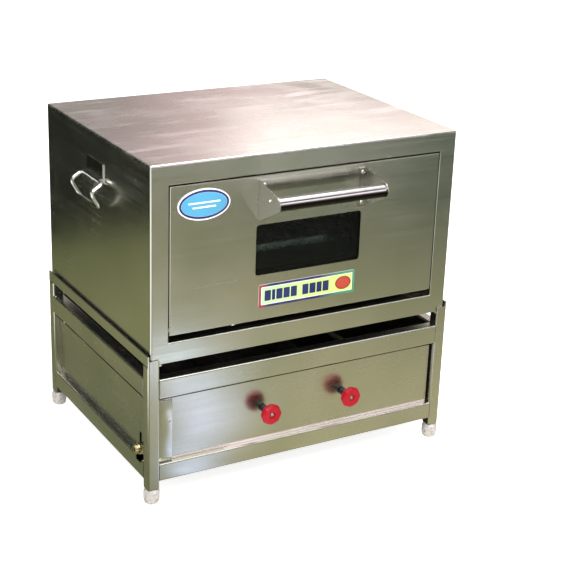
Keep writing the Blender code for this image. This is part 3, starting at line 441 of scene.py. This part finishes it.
def slab(outline, low, high, bevel=0.0):
    """An outline in X and Z, from y = low to y = high, with its front edges (low) rounded."""
    mesh = bmesh.new()
    ring = [mesh.verts.new((x, low, z)) for x, z in outline]
    face = mesh.faces.new(ring)
    grown = bmesh.ops.extrude_face_region(mesh, geom=[face])
    moved = [item for item in grown["geom"] if isinstance(item, bmesh.types.BMVert)]
    bmesh.ops.translate(mesh, verts=moved, vec=(0, high - low, 0))
    bmesh.ops.recalc_face_normals(mesh, faces=mesh.faces[:])
    if bevel:
        edges = [edge for edge in mesh.edges if all(abs(v.co.y - low) < 1e-7 for v in edge.verts)]
        bmesh.ops.bevel(mesh, geom=edges, offset=bevel, segments=2, affect="EDGES", profile=0.5)
    return mesh


def band(outer, inner, low, high, closed=True):
    """The strip between two outlines with the same number of points, from y = low to y = high."""
    mesh = bmesh.new()
    loops = []
    for outline, y in ((outer, low), (inner, low), (inner, high), (outer, high)):
        loops.append([mesh.verts.new((x, y, z)) for x, z in outline])
    count = len(outer)
    for first, second in zip(loops, loops[1:] + loops[:1]):
        for index in range(count if closed else count - 1):
            following = (index + 1) % count
            mesh.faces.new((first[index], first[following], second[following], second[index]))
    if not closed:
        for end in (0, -1):
            mesh.faces.new([loop[end] for loop in loops])
    bmesh.ops.recalc_face_normals(mesh, faces=mesh.faces[:])
    return mesh


def rounded(low_x, low_z, high_x, high_z, radius, steps=5):
    points = []
    corners = ((low_x + radius, low_z + radius, 180), (high_x - radius, low_z + radius, 270),
               (high_x - radius, high_z - radius, 0), (low_x + radius, high_z - radius, 90))
    for x, z, start in corners:
        for step in range(steps + 1):
            angle = math.radians(start + 90 * step / steps)
            points.append((x + radius * math.cos(angle), z + radius * math.sin(angle)))
    return points


OVAL_STEPS = 64


def oval(centre, half_width, half_height):
    points = []
    for step in range(OVAL_STEPS):
        angle = 2 * math.pi * step / OVAL_STEPS
        points.append((centre[0] + half_width * math.cos(angle), centre[1] + half_height * math.sin(angle)))
    return points


LABEL_FILM = 0.00012            # one printed layer
LABEL_BORDER = 0.0045
LABEL_GAP = 0.0012              # pale line between border and field
LABEL_NAVY = (0.008, 0.012, 0.10)
LABEL_GREEN_FROM = 0.07         # where the border turns green, in from its right end
DISC_INSET = 0.024              # middle of the disc, in from the right end
DISC_HALF = (0.0165, 0.0125)    # half width and half height
DISC_RIM_HALF = (0.0140, 0.0104)
BLOCK_INSET = 0.0115
BLOCK_CORNER = 0.0012
BLOCK_SPACE = 0.0022            # between two blocks
WORD_SPACE = 0.0090             # between two groups of blocks
BLOCK_WORDS = (                 # block widths, group by group
    (0.0125, 0.0065, 0.0125, 0.0125, 0.0125),
    (0.0125, 0.0125, 0.0105, 0.0125),
)


def add_label():
    """Blank printed label: coloured border, pale field, plain blocks and a plain red disc."""
    low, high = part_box("front_label_plate")
    front = low.y
    first = front - LABEL_FILM
    second = front - 2 * LABEL_FILM
    third = front - 3 * LABEL_FILM

    outer = rounded(low.x, low.z, high.x, high.z, 0.002)
    inner = rounded(low.x + LABEL_BORDER, low.z + LABEL_BORDER,
                    high.x - LABEL_BORDER, high.z - LABEL_BORDER, 0.001)
    red = (0.30, 0.010, 0.018)
    red_to_navy = ink_run("label_border_look", red, LABEL_NAVY, low.x + 0.005, low.x + 0.020)
    piece("label_border", band(outer, inner, first, front), red_to_navy, "door")

    start = high.x - LABEL_GREEN_FROM
    half_outer = [(start, low.z), *right_half(outer), (start, high.z)]
    half_inner = [(start, low.z + LABEL_BORDER), *right_half(inner), (start, high.z - LABEL_BORDER)]
    green = ink_run("label_green_look", LABEL_NAVY, (0.05, 0.24, 0.12), high.x - 0.075, high.x - 0.02)
    green_band = band(half_outer, half_inner, second, first, closed=False)
    piece("label_border_green", green_band, green, "door")

    margin = LABEL_BORDER + LABEL_GAP
    field_outline = rounded(low.x + margin, low.z + margin, high.x - margin, high.z - margin, 0.001)
    field = ink_run("label_field_look", (0.42, 0.62, 0.36), (0.50, 0.66, 0.16), low.x, high.x * 0.3)
    piece("label_field", slab(field_outline, first, front), field, "door")
    add_label_blocks(low, high, first)

    centre = (high.x - DISC_INSET, (low.z + high.z) / 2)
    edge = oval(centre, *DISC_HALF)
    disc = ink("label_disc_look", (0.42, 0.045, 0.022))
    piece("label_disc", slab(edge, second, first), disc, "door")
    rim = band(edge, oval(centre, *DISC_RIM_HALF), third, second)
    piece("label_disc_rim", rim, ink("label_rim_look", (0.26, 0.018, 0.012)), "door")


def right_half(outline):
    return [(x, z) for x, z in outline if x > 0]


def add_label_blocks(low, high, front):
    """Plain upright blocks where a label would carry words."""
    look = ink("label_block_look", LABEL_NAVY)
    blocks = bmesh.new()
    left = low.x + BLOCK_INSET
    bottom = low.z + BLOCK_INSET
    top = high.z - BLOCK_INSET
    for word in BLOCK_WORDS:
        for width in word:
            outline = rounded(left, bottom, left + width, top, BLOCK_CORNER, 2)
            part = slab(outline, front - LABEL_FILM, front)
            data = bpy.data.meshes.new("block")
            part.to_mesh(data)
            part.free()
            blocks.from_mesh(data)
            bpy.data.meshes.remove(data)
            left += width + BLOCK_SPACE
        left += WORD_SPACE
    piece("label_blocks", blocks, look, "door")


BADGE_FILM = 0.0002
BADGE_RIM = 0.0024              # white rim, in from the edge
BADGE_RING = 0.0062             # inner edge of the navy ring
BADGE_FIELD = 0.0066            # edge of the blue field
STRIPE_HALF = 0.0014
BADGE_STRIPES = ((0.0035, 0.030), (-0.0045, 0.022))     # height over the middle, half length


def add_badge():
    """Blank oval badge: white rim, navy ring, light blue field with two plain stripes."""
    low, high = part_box("oval_badge")
    centre = ((low.x + high.x) / 2, (low.z + high.z) / 2)
    half_width = (high.x - low.x) / 2
    half_height = (high.z - low.z) / 2
    front = low.y

    def inset(amount):
        return oval(centre, half_width - amount, half_height - amount)

    navy = ink("badge_navy_look", (0.012, 0.014, 0.13))
    blue = ink("badge_blue_look", (0.06, 0.32, 0.52))
    ring = band(inset(BADGE_RIM), inset(BADGE_RING), front - BADGE_FILM, front)
    piece("badge_ring", ring, navy, "door")
    field = slab(inset(BADGE_FIELD), front - 2 * BADGE_FILM, front, 0.00015)
    piece("badge_field", field, blue, "door")
    for index, (height, width) in enumerate(BADGE_STRIPES):
        z = centre[1] + height
        outline = rounded(centre[0] - width, z - STRIPE_HALF, centre[0] + width, z + STRIPE_HALF, 0.0013, 4)
        stripe = slab(outline, front - 3 * BADGE_FILM, front - 2 * BADGE_FILM)
        piece(f"badge_stripe_{index + 1}", stripe, "badge_print", "door")


FLANGE_FRONT = FACE_Y - 0.0003 - 0.002         # outer face of the handle brackets' flanges
KNOB_SCREW = 0.0034                            # head radii
BRACKET_SCREW = 0.0036
TUBE_SCREW = 0.0030
STRIP_SCREW = 0.0026
REAR_SCREW = 0.0036
INNER_DOOR_SCREW = 0.0030


def add_screws():
    """Screws on the knobs, the handle brackets, the tube's ends, the rear panel and the inner door."""
    tube_low, tube_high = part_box("handle_tube")
    tube_y = (tube_low.y + tube_high.y) / 2
    tube_z = (tube_low.z + tube_high.z) / 2
    for side, _ in SIDES:
        low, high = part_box(f"burner_knob_{side}")
        centre = Vector(((low.x + high.x) / 2, low.y + 0.0040, (low.z + high.z) / 2))
        add_screw(f"knob_screw_{side}", centre, (0, -1, 0), KNOB_SCREW, f"{side}_knob", 0.4)
    for side, sign in SIDES:
        low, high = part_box(f"handle_bracket_{side}")
        outer = low.x if side == "left" else high.x
        for name, z in (("top", high.z - 0.0085), ("bottom", low.z + 0.0085)):
            place = Vector((outer - sign * 0.0095, FLANGE_FRONT, z))
            add_screw(f"bracket_screw_{side}_{name}", place, (0, -1, 0), BRACKET_SCREW, "door", 0.2)
    for side, sign in SIDES:
        low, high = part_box(f"handle_bracket_{side}")
        outer = low.x if side == "left" else high.x
        place = Vector((outer, tube_y + 0.018, tube_z + 0.002))
        add_screw(f"tube_screw_{side}", place, (sign, 0, 0), TUBE_SCREW, "door", 0.7)
    add_rear_screws()
    add_inner_door_screws()


def spaced(first, last, count):
    """Evenly spaced places, both ends included."""
    return [first + (last - first) * step / (count - 1) for step in range(count)]


def add_rear_screws():
    """Ten screws along the rear panel's top and bottom edges, four on its sides."""
    low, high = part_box("oven_rear_panel")
    xs = spaced(low.x + 0.012, high.x - 0.012, 5)
    zs = spaced(low.z + 0.010, high.z - 0.010, 4)
    places = [(x, zs[0]) for x in xs] + [(x, zs[3]) for x in xs]
    places += [(x, z) for x in (xs[0], xs[4]) for z in zs[1:3]]
    for number, (x, z) in enumerate(places, 1):
        place = Vector((x, high.y, z))
        add_screw(f"rear_screw_{number}", place, (0, 1, 0), REAR_SCREW, "oven", number)


def add_inner_door_screws():
    low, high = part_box("door_inner_skin")
    xs = spaced(low.x + 0.025, high.x - 0.025, 5)
    places = [(x, z) for z in (low.z + 0.009, high.z - 0.009) for x in xs]
    for number, (x, z) in enumerate(places, 1):
        place = Vector((x, high.y, z))
        add_screw(f"door_screw_{number}", place, (0, 1, 0), INNER_DOOR_SCREW, "door", number)


SEAL_THICKNESS = 0.0030


def add_gasket():
    """Flat fibre seal round the chamber mouth, on the liner's flange."""
    low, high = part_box("chamber_liner")
    front = low.y
    stone_low, stone_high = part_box("hearth_stone")
    outer = rounded(stone_low.x - 0.016, stone_low.z - 0.010, stone_high.x + 0.016, high.z - 0.004, 0.010)
    inner = rounded(stone_low.x - 0.006, stone_low.z - 0.001, stone_high.x + 0.006, high.z - 0.012, 0.006)
    piece("mouth_seal", band(outer, inner, front - SEAL_THICKNESS, front), "gasket", "oven")


STRIP_WIDTH = 0.027
STRIP_STANDS_OUT = (0.0016, 0.0042)            # in front of the panel, at its left and right edges


def add_panel_strip():
    """Joint strip welded over the burner panel's left end, its free edge standing a little proud."""
    panel_low, panel_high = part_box("burner_panel")
    _, rail_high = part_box("bottom_rail_front")
    low_x = panel_low.x + 0.0002
    high_x = low_x + STRIP_WIDTH
    bottom = rail_high.z + 0.0005
    top = panel_high.z - 0.001
    back = panel_low.y
    welded, free = STRIP_STANDS_OUT
    outline = [(low_x, back - welded), (high_x, back - free), (high_x, back), (low_x, back)]
    mesh = bmesh.new()
    rings = [[mesh.verts.new((x, y, z)) for x, y in outline] for z in (bottom, top)]
    mesh.faces.new(rings[0])
    mesh.faces.new(rings[1])
    for index in range(4):
        following = (index + 1) % 4
        mesh.faces.new((rings[0][index], rings[0][following], rings[1][following], rings[1][index]))
    bmesh.ops.recalc_face_normals(mesh, faces=mesh.faces[:])
    bmesh.ops.bevel(mesh, geom=mesh.edges[:], offset=0.0004, segments=2, affect="EDGES", profile=0.5)
    piece("panel_strip", mesh, "stand_steel", "stand")
    place = Vector((high_x - 0.006, back - 0.0038, (bottom + top) / 2 + 0.018))
    add_screw("panel_strip_screw", place, (-0.1, -1, 0), STRIP_SCREW, "stand", 0.3)


def add_welds():
    """Short ground weld beads where the rails meet the legs."""
    for end, plane_sign in (("front", -1), ("rear", 1)):
        for side, sign in SIDES:
            leg_low, leg_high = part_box(f"leg_{end}_{side}")
            inner_x = leg_high.x if sign < 0 else leg_low.x
            inner_y = leg_high.y if plane_sign < 0 else leg_low.y
            outer_y = leg_low.y if plane_sign < 0 else leg_high.y
            outer_x = leg_low.x if sign < 0 else leg_high.x
            for level in ("top", "bottom"):
                low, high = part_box(f"{level}_rail_{end}")
                start = Vector((inner_x, outer_y, low.z + 0.001))
                stop = Vector((inner_x, outer_y, high.z - 0.001))
                bead(f"weld_{level}_{end}_{side}", start, stop, (0, plane_sign, 0))
                start = Vector((outer_x, inner_y, low.z + 0.001))
                stop = Vector((outer_x, inner_y, high.z - 0.001))
                bead(f"weld_{level}_{side}_{end}", start, stop, (sign, 0, 0))


BEAD_HALF_WIDTH = 0.0016
BEAD_HEIGHT = 0.0005
BEAD_STEP = 0.0012


def bead(name, start, stop, normal):
    """A low rippled bead along a line, lying on a face of the stand with the given normal."""
    out = Vector(normal)
    along = (stop - start).normalized()
    across = along.cross(out)
    count = max(6, int((stop - start).length / BEAD_STEP))
    mesh = bmesh.new()
    rows = []
    for step in range(count + 1):
        t = step / count
        centre = start.lerp(stop, t)
        swell = 0.8 + 0.2 * math.cos(step * math.pi) + 0.15 * noise.noise(centre * 400)
        ends = min(1.0, 6 * min(t, 1 - t) + 0.15)
        row = []
        for place in (-1.0, -0.6, 0.0, 0.6, 1.0):
            aside = place * BEAD_HALF_WIDTH * swell * ends
            lift = BEAD_HEIGHT * swell * ends * (1 - place * place) - 0.0001
            row.append(mesh.verts.new(centre + across * aside + out * lift))
        rows.append(row)
    for first, second in zip(rows, rows[1:]):
        for index in range(4):
            mesh.faces.new((first[index], first[index + 1], second[index + 1], second[index]))
    for row in rows[:1] + rows[-1:]:
        mesh.faces.new(row)
    base = [[row[0], row[-1]] for row in rows]
    for first, second in zip(base, base[1:]):
        mesh.faces.new((first[0], first[1], second[1], second[0]))
    bmesh.ops.recalc_face_normals(mesh, faces=mesh.faces[:])
    piece(name, mesh, "weld_steel", "stand", smooth_angle=80)


# ---------------------------------------------------------------- floor, light and camera

def add_floor():
    """A wide white floor, lit a little from within so that it stays white."""
    mesh = bmesh.new()
    bmesh.ops.create_grid(mesh, x_segments=1, y_segments=1, size=30)
    data = bpy.data.meshes.new("floor")
    mesh.to_mesh(data)
    mesh.free()
    floor = bpy.data.objects.new("floor", data)
    bpy.context.scene.collection.objects.link(floor)
    made = Finish("floor_look")
    grain = made.noise(3, 4, 0.5)
    tone = made.blend(grain, (0.80, 0.80, 0.79), (0.86, 0.86, 0.85))
    made.set(Base_Color=tone, Roughness=0.8)
    made.shader.inputs["Emission Color"].default_value = (1.0, 1.0, 0.995, 1)
    made.shader.inputs["Emission Strength"].default_value = 0.80
    data.materials.append(made.material)


def pool(place, centre, radii, power=2.0):
    """A soft pool of light: 1 at its centre, falling away over its radii."""
    reach = math.hypot((place[0] - centre[0]) / radii[0], (place[1] - centre[1]) / radii[1])
    return math.exp(-reach ** power)


def mixed(first, second, share):
    return tuple(a + (b - a) * share for a, b in zip(first, second))


def scaled(colour, share):
    return tuple(value * share for value in colour)


def summed(*colours):
    return tuple(sum(values) for values in zip(*colours))


def smoothstep(low, high, value):
    t = min(1.0, max(0.0, (value - low) / (high - low)))
    return t * t * (3 - 2 * t)


def along_line(points, value):
    """Straight-line steps between (place, height) pairs, level beyond both ends."""
    for (first, low), (second, high) in zip(points, points[1:]):
        if first <= value <= second:
            return low + (high - low) * (value - first) / (second - first)
    return points[0][1] if value < points[0][0] else points[-1][1]


# Ridge of the streak on the floor: x for each y.
STREAK_LINE = ((-0.80, 0.0), (-0.65, -0.035), (-0.50, -0.065), (-0.40, -0.110), (-0.30, -0.200))


def front_glow(x, y):
    """The floor in front: warm olive near the oven, dimmer away, with one bluish streak of light."""
    distance = smoothstep(-0.2, -2.0, y) * 0.55 + smoothstep(-0.1, 1.6, x) * 0.55
    near = mixed((0.45, 0.44, 0.29), (0.60, 0.57, 0.35), smoothstep(-0.25, 0.05, x))
    colour = mixed(near, (0.09, 0.115, 0.085), min(1.0, distance))
    colour = scaled(colour, 1 - 0.55 * pool((x, y), (0.50, -1.86), (0.20, 0.13)))
    patch = pool((x, y), (1.05, -2.11), (0.32, 0.10))
    step = pool((x, y), (0.15, -0.79), (0.42, 0.06))
    corner = pool((x, y), (-0.03, -0.765), (0.09, 0.040))
    away = x - along_line(STREAK_LINE, y)
    reach = 0.030 if away < 0 else 0.05 + 0.040 * smoothstep(-0.33, -0.42, y)
    streak = math.exp(-(away / reach) ** 2)
    streak *= smoothstep(-0.90, -0.80, y) * smoothstep(-0.18, -0.28, y)
    return summed(
        colour,
        scaled((1.9, 1.9, 1.75), patch),
        scaled((0.20, 0.20, 0.17), step),
        scaled((0.84, 1.00, 1.70), streak),
        scaled((1.10, 1.25, 1.45), corner),
    )


def side_glow(x, y):
    """The floor on the left: dim olive by the stand, black far behind, white past the front corner."""
    colour = mixed((0.21, 0.22, 0.12), (0.32, 0.325, 0.16), smoothstep(-0.46, -0.62, x))
    colour = mixed(colour, (0.19, 0.205, 0.09), smoothstep(0.45, 1.10, y))
    colour = mixed(colour, (0.010, 0.012, 0.007), smoothstep(1.08, 1.32, y))
    white = smoothstep(-0.62, -0.78, x) * smoothstep(0.32, 0.12, y) * smoothstep(-2.4, -1.6, y)
    return mixed(colour, (1.7, 1.7, 1.75), white)


def floor_glow(x, y):
    """What polished steel sees of the floor."""
    colour = mixed(front_glow(x, y), side_glow(x, y), smoothstep(-0.28, -0.34, x))
    behind = smoothstep(0.0, 0.4, y) * smoothstep(-0.34, -0.28, x)
    colour = mixed(colour, (0.30, 0.30, 0.22), behind)
    # Painted shadow: the glow turns near black under the oven's footprint, standing in for its contact
    # shadow on the floor.
    under_x = smoothstep(0.315, 0.285, abs(x))
    under_y = smoothstep(0.240, 0.210, abs(y - 0.03))
    return mixed(colour, (0.015, 0.015, 0.012), under_x * under_y)


# Lower edge of the bright window behind the oven: height for each x.
SKY_SILL = ((0.35, 0.950), (0.60, 0.920), (0.85, 0.945), (1.00, 0.975), (1.30, 0.985))


def sky_glow(x, z):
    """What the top sheet sees behind the oven: a bright window on the right, dimmer on the left."""
    base = mixed((0.40, 0.34, 0.325), (0.94, 0.70, 0.70), smoothstep(0.05, 0.55, x))
    base = mixed(base, (0.50, 0.40, 0.39), smoothstep(0.50, 0.75, x) * smoothstep(0.92, 0.85, z))
    sill = along_line(SKY_SILL, x)
    window = smoothstep(sill - 0.01, sill + 0.06, z) * smoothstep(0.34, 0.62, x) * smoothstep(1.30, 1.15, z)
    return mixed(base, (2.3, 2.2, 2.1), window)


def fill_glow(x, z):
    """A pink fill in front that the ledges pick up."""
    share = pool((x, z), (1.5, 1.5), (1.5, 0.42), 4.0)
    return scaled((4.8, 4.1, 4.8), share)


def add_card(name, matrix, size, steps, glow):
    """A glowing card that only reflections see; glow(place) gives its colour at each of its points."""
    mesh = bmesh.new()
    bmesh.ops.create_grid(mesh, x_segments=steps[0], y_segments=steps[1], size=0.5)
    bmesh.ops.scale(mesh, verts=mesh.verts[:], vec=(size[0], size[1], 1))
    mesh.transform(matrix)
    data = bpy.data.meshes.new(name)
    mesh.to_mesh(data)
    mesh.free()
    colours = data.color_attributes.new("glow", "FLOAT_COLOR", "POINT")
    for vertex, cell in zip(data.vertices, colours.data):
        cell.color = (*glow(vertex.co), 1.0)
    look = bpy.data.materials.new(name + "_look")
    look.use_nodes = True
    tree = look.node_tree
    tree.nodes.clear()
    source = tree.nodes.new("ShaderNodeVertexColor")
    source.layer_name = "glow"
    lamp = tree.nodes.new("ShaderNodeEmission")
    output = tree.nodes.new("ShaderNodeOutputMaterial")
    tree.links.new(source.outputs["Color"], lamp.inputs["Color"])
    tree.links.new(lamp.outputs["Emission"], output.inputs["Surface"])
    data.materials.append(look)
    card = bpy.data.objects.new(name, data)
    bpy.context.scene.collection.objects.link(card)
    card.visible_camera = False
    card.visible_diffuse = False
    card.visible_shadow = False
    card.visible_transmission = False
    card.visible_volume_scatter = False


def upright(place):
    """Stand a card on its edge, facing along Y, with its middle at place."""
    return Matrix.Translation(place) @ Matrix.Rotation(math.radians(90), 4, "X")


def add_cards():
    """A glowing floor just over the real one, a wall behind, a dark corner behind left and a front fill."""
    flat = Matrix.Translation((0, 0, 0.0008))
    add_card("floor_card", flat, (8.0, 8.0), (200, 200), lambda p: floor_glow(p.x, p.y))
    add_card("wall_card", upright((1.0, 1.0, 1.46)), (2.6, 1.4), (90, 70), lambda p: sky_glow(p.x, p.z))
    add_card("shade_card", upright((-0.95, 1.3, 0.85)), (1.1, 0.9), (2, 2), lambda p: (0.025, 0.03, 0.02))
    add_card("fill_card", upright((1.5, -2.6, 1.5)), (3.0, 0.9), (60, 30), lambda p: fill_glow(p.x, p.z))


def add_softbox(name, place, aim, size, power, colour):
    """A rectangular area light turned towards aim."""
    data = bpy.data.lights.new(name, "AREA")
    data.shape = "RECTANGLE"
    data.size, data.size_y = size
    data.energy = power
    data.color = colour
    lamp = bpy.data.objects.new(name, data)
    lamp.location = place
    direction = Vector(aim) - Vector(place)
    lamp.rotation_euler = direction.to_track_quat("-Z", "Y").to_euler()
    bpy.context.scene.collection.objects.link(lamp)
    lamp.visible_camera = False


def add_world():
    """Even pale light; reflections see a room that is dark near the floor and bright overhead."""
    world = bpy.data.worlds.new("studio")
    bpy.context.scene.world = world
    world.use_nodes = True
    tree = world.node_tree
    tree.nodes.clear()
    coords = tree.nodes.new("ShaderNodeTexCoord")
    split = tree.nodes.new("ShaderNodeSeparateXYZ")
    ramp = tree.nodes.new("ShaderNodeValToRGB")
    stops = ramp.color_ramp.elements
    stops[0].position = 0.0
    stops[0].color = (0.04, 0.042, 0.035, 1)
    stops[1].position = 0.90
    stops[1].color = (4.5, 4.5, 4.4, 1)
    stops.new(0.74).color = (0.42, 0.42, 0.40, 1)
    stops.new(0.18).color = (0.32, 0.32, 0.29, 1)
    path = tree.nodes.new("ShaderNodeLightPath")
    pick = tree.nodes.new("ShaderNodeMix")
    pick.data_type = "RGBA"
    colours = [socket for socket in pick.inputs if socket.type == "RGBA"]
    shade = tree.nodes.new("ShaderNodeBackground")
    output = tree.nodes.new("ShaderNodeOutputWorld")
    tree.links.new(coords.outputs["Generated"], split.inputs["Vector"])
    tree.links.new(split.outputs["Z"], ramp.inputs["Fac"])
    tree.links.new(path.outputs["Is Glossy Ray"], pick.inputs["Factor"])
    colours[0].default_value = (0.95, 0.95, 0.95, 1)
    tree.links.new(ramp.outputs["Color"], colours[1])
    tree.links.new(next(socket for socket in pick.outputs if socket.type == "RGBA"), shade.inputs["Color"])
    tree.links.new(shade.outputs["Background"], output.inputs["Surface"])


def add_lights():
    add_world()
    add_softbox("key_softbox", (-1.2, -2.0, 2.6), (0, 0, 0.4), (1.6, 1.2), 55, (1.0, 0.99, 0.97))
    add_softbox("overhead_softbox", (0.3, -0.2, 2.9), (0, 0, 0.4), (1.8, 1.4), 40, (1.0, 1.0, 1.0))


SENSOR_WIDTH = 36
CAMERA_PLACE = Vector((-1.20627, -2.18418, 1.24871))
CAMERA_YAW = math.radians(-30.319)
CAMERA_DOWN = math.radians(20.804)
CAMERA_ROLL = math.radians(2.048)
CAMERA_FIELD = math.radians(23.098)


def add_camera():
    data = bpy.data.cameras.new("camera")
    data.sensor_width = SENSOR_WIDTH
    data.lens = SENSOR_WIDTH / 2 / math.tan(CAMERA_FIELD / 2)
    data.clip_start = 0.05
    data.clip_end = 200
    camera = bpy.data.objects.new("camera", data)
    level_ahead = Vector((-math.sin(CAMERA_YAW), math.cos(CAMERA_YAW), 0))
    ahead = level_ahead * math.cos(CAMERA_DOWN) - Vector((0, 0, math.sin(CAMERA_DOWN)))
    level = Vector((math.cos(CAMERA_YAW), math.sin(CAMERA_YAW), 0))
    above = level.cross(ahead)
    right = level * math.cos(CAMERA_ROLL) + above * math.sin(CAMERA_ROLL)
    up = above * math.cos(CAMERA_ROLL) - level * math.sin(CAMERA_ROLL)
    turn = Matrix((right, up, -ahead)).transposed()
    camera.matrix_world = Matrix.Translation(CAMERA_PLACE) @ turn.to_4x4()
    bpy.context.scene.collection.objects.link(camera)
    bpy.context.scene.camera = camera


def set_tones():
    view = bpy.context.scene.view_settings
    view.view_transform = "Standard"
    view.look = "None"
    view.exposure = 0.0
    view.gamma = 1.0


dress_frame()
add_label()
add_badge()
add_screws()
add_gasket()
add_panel_strip()
add_welds()
add_floor()
add_cards()
add_lights()
add_camera()
set_tones()
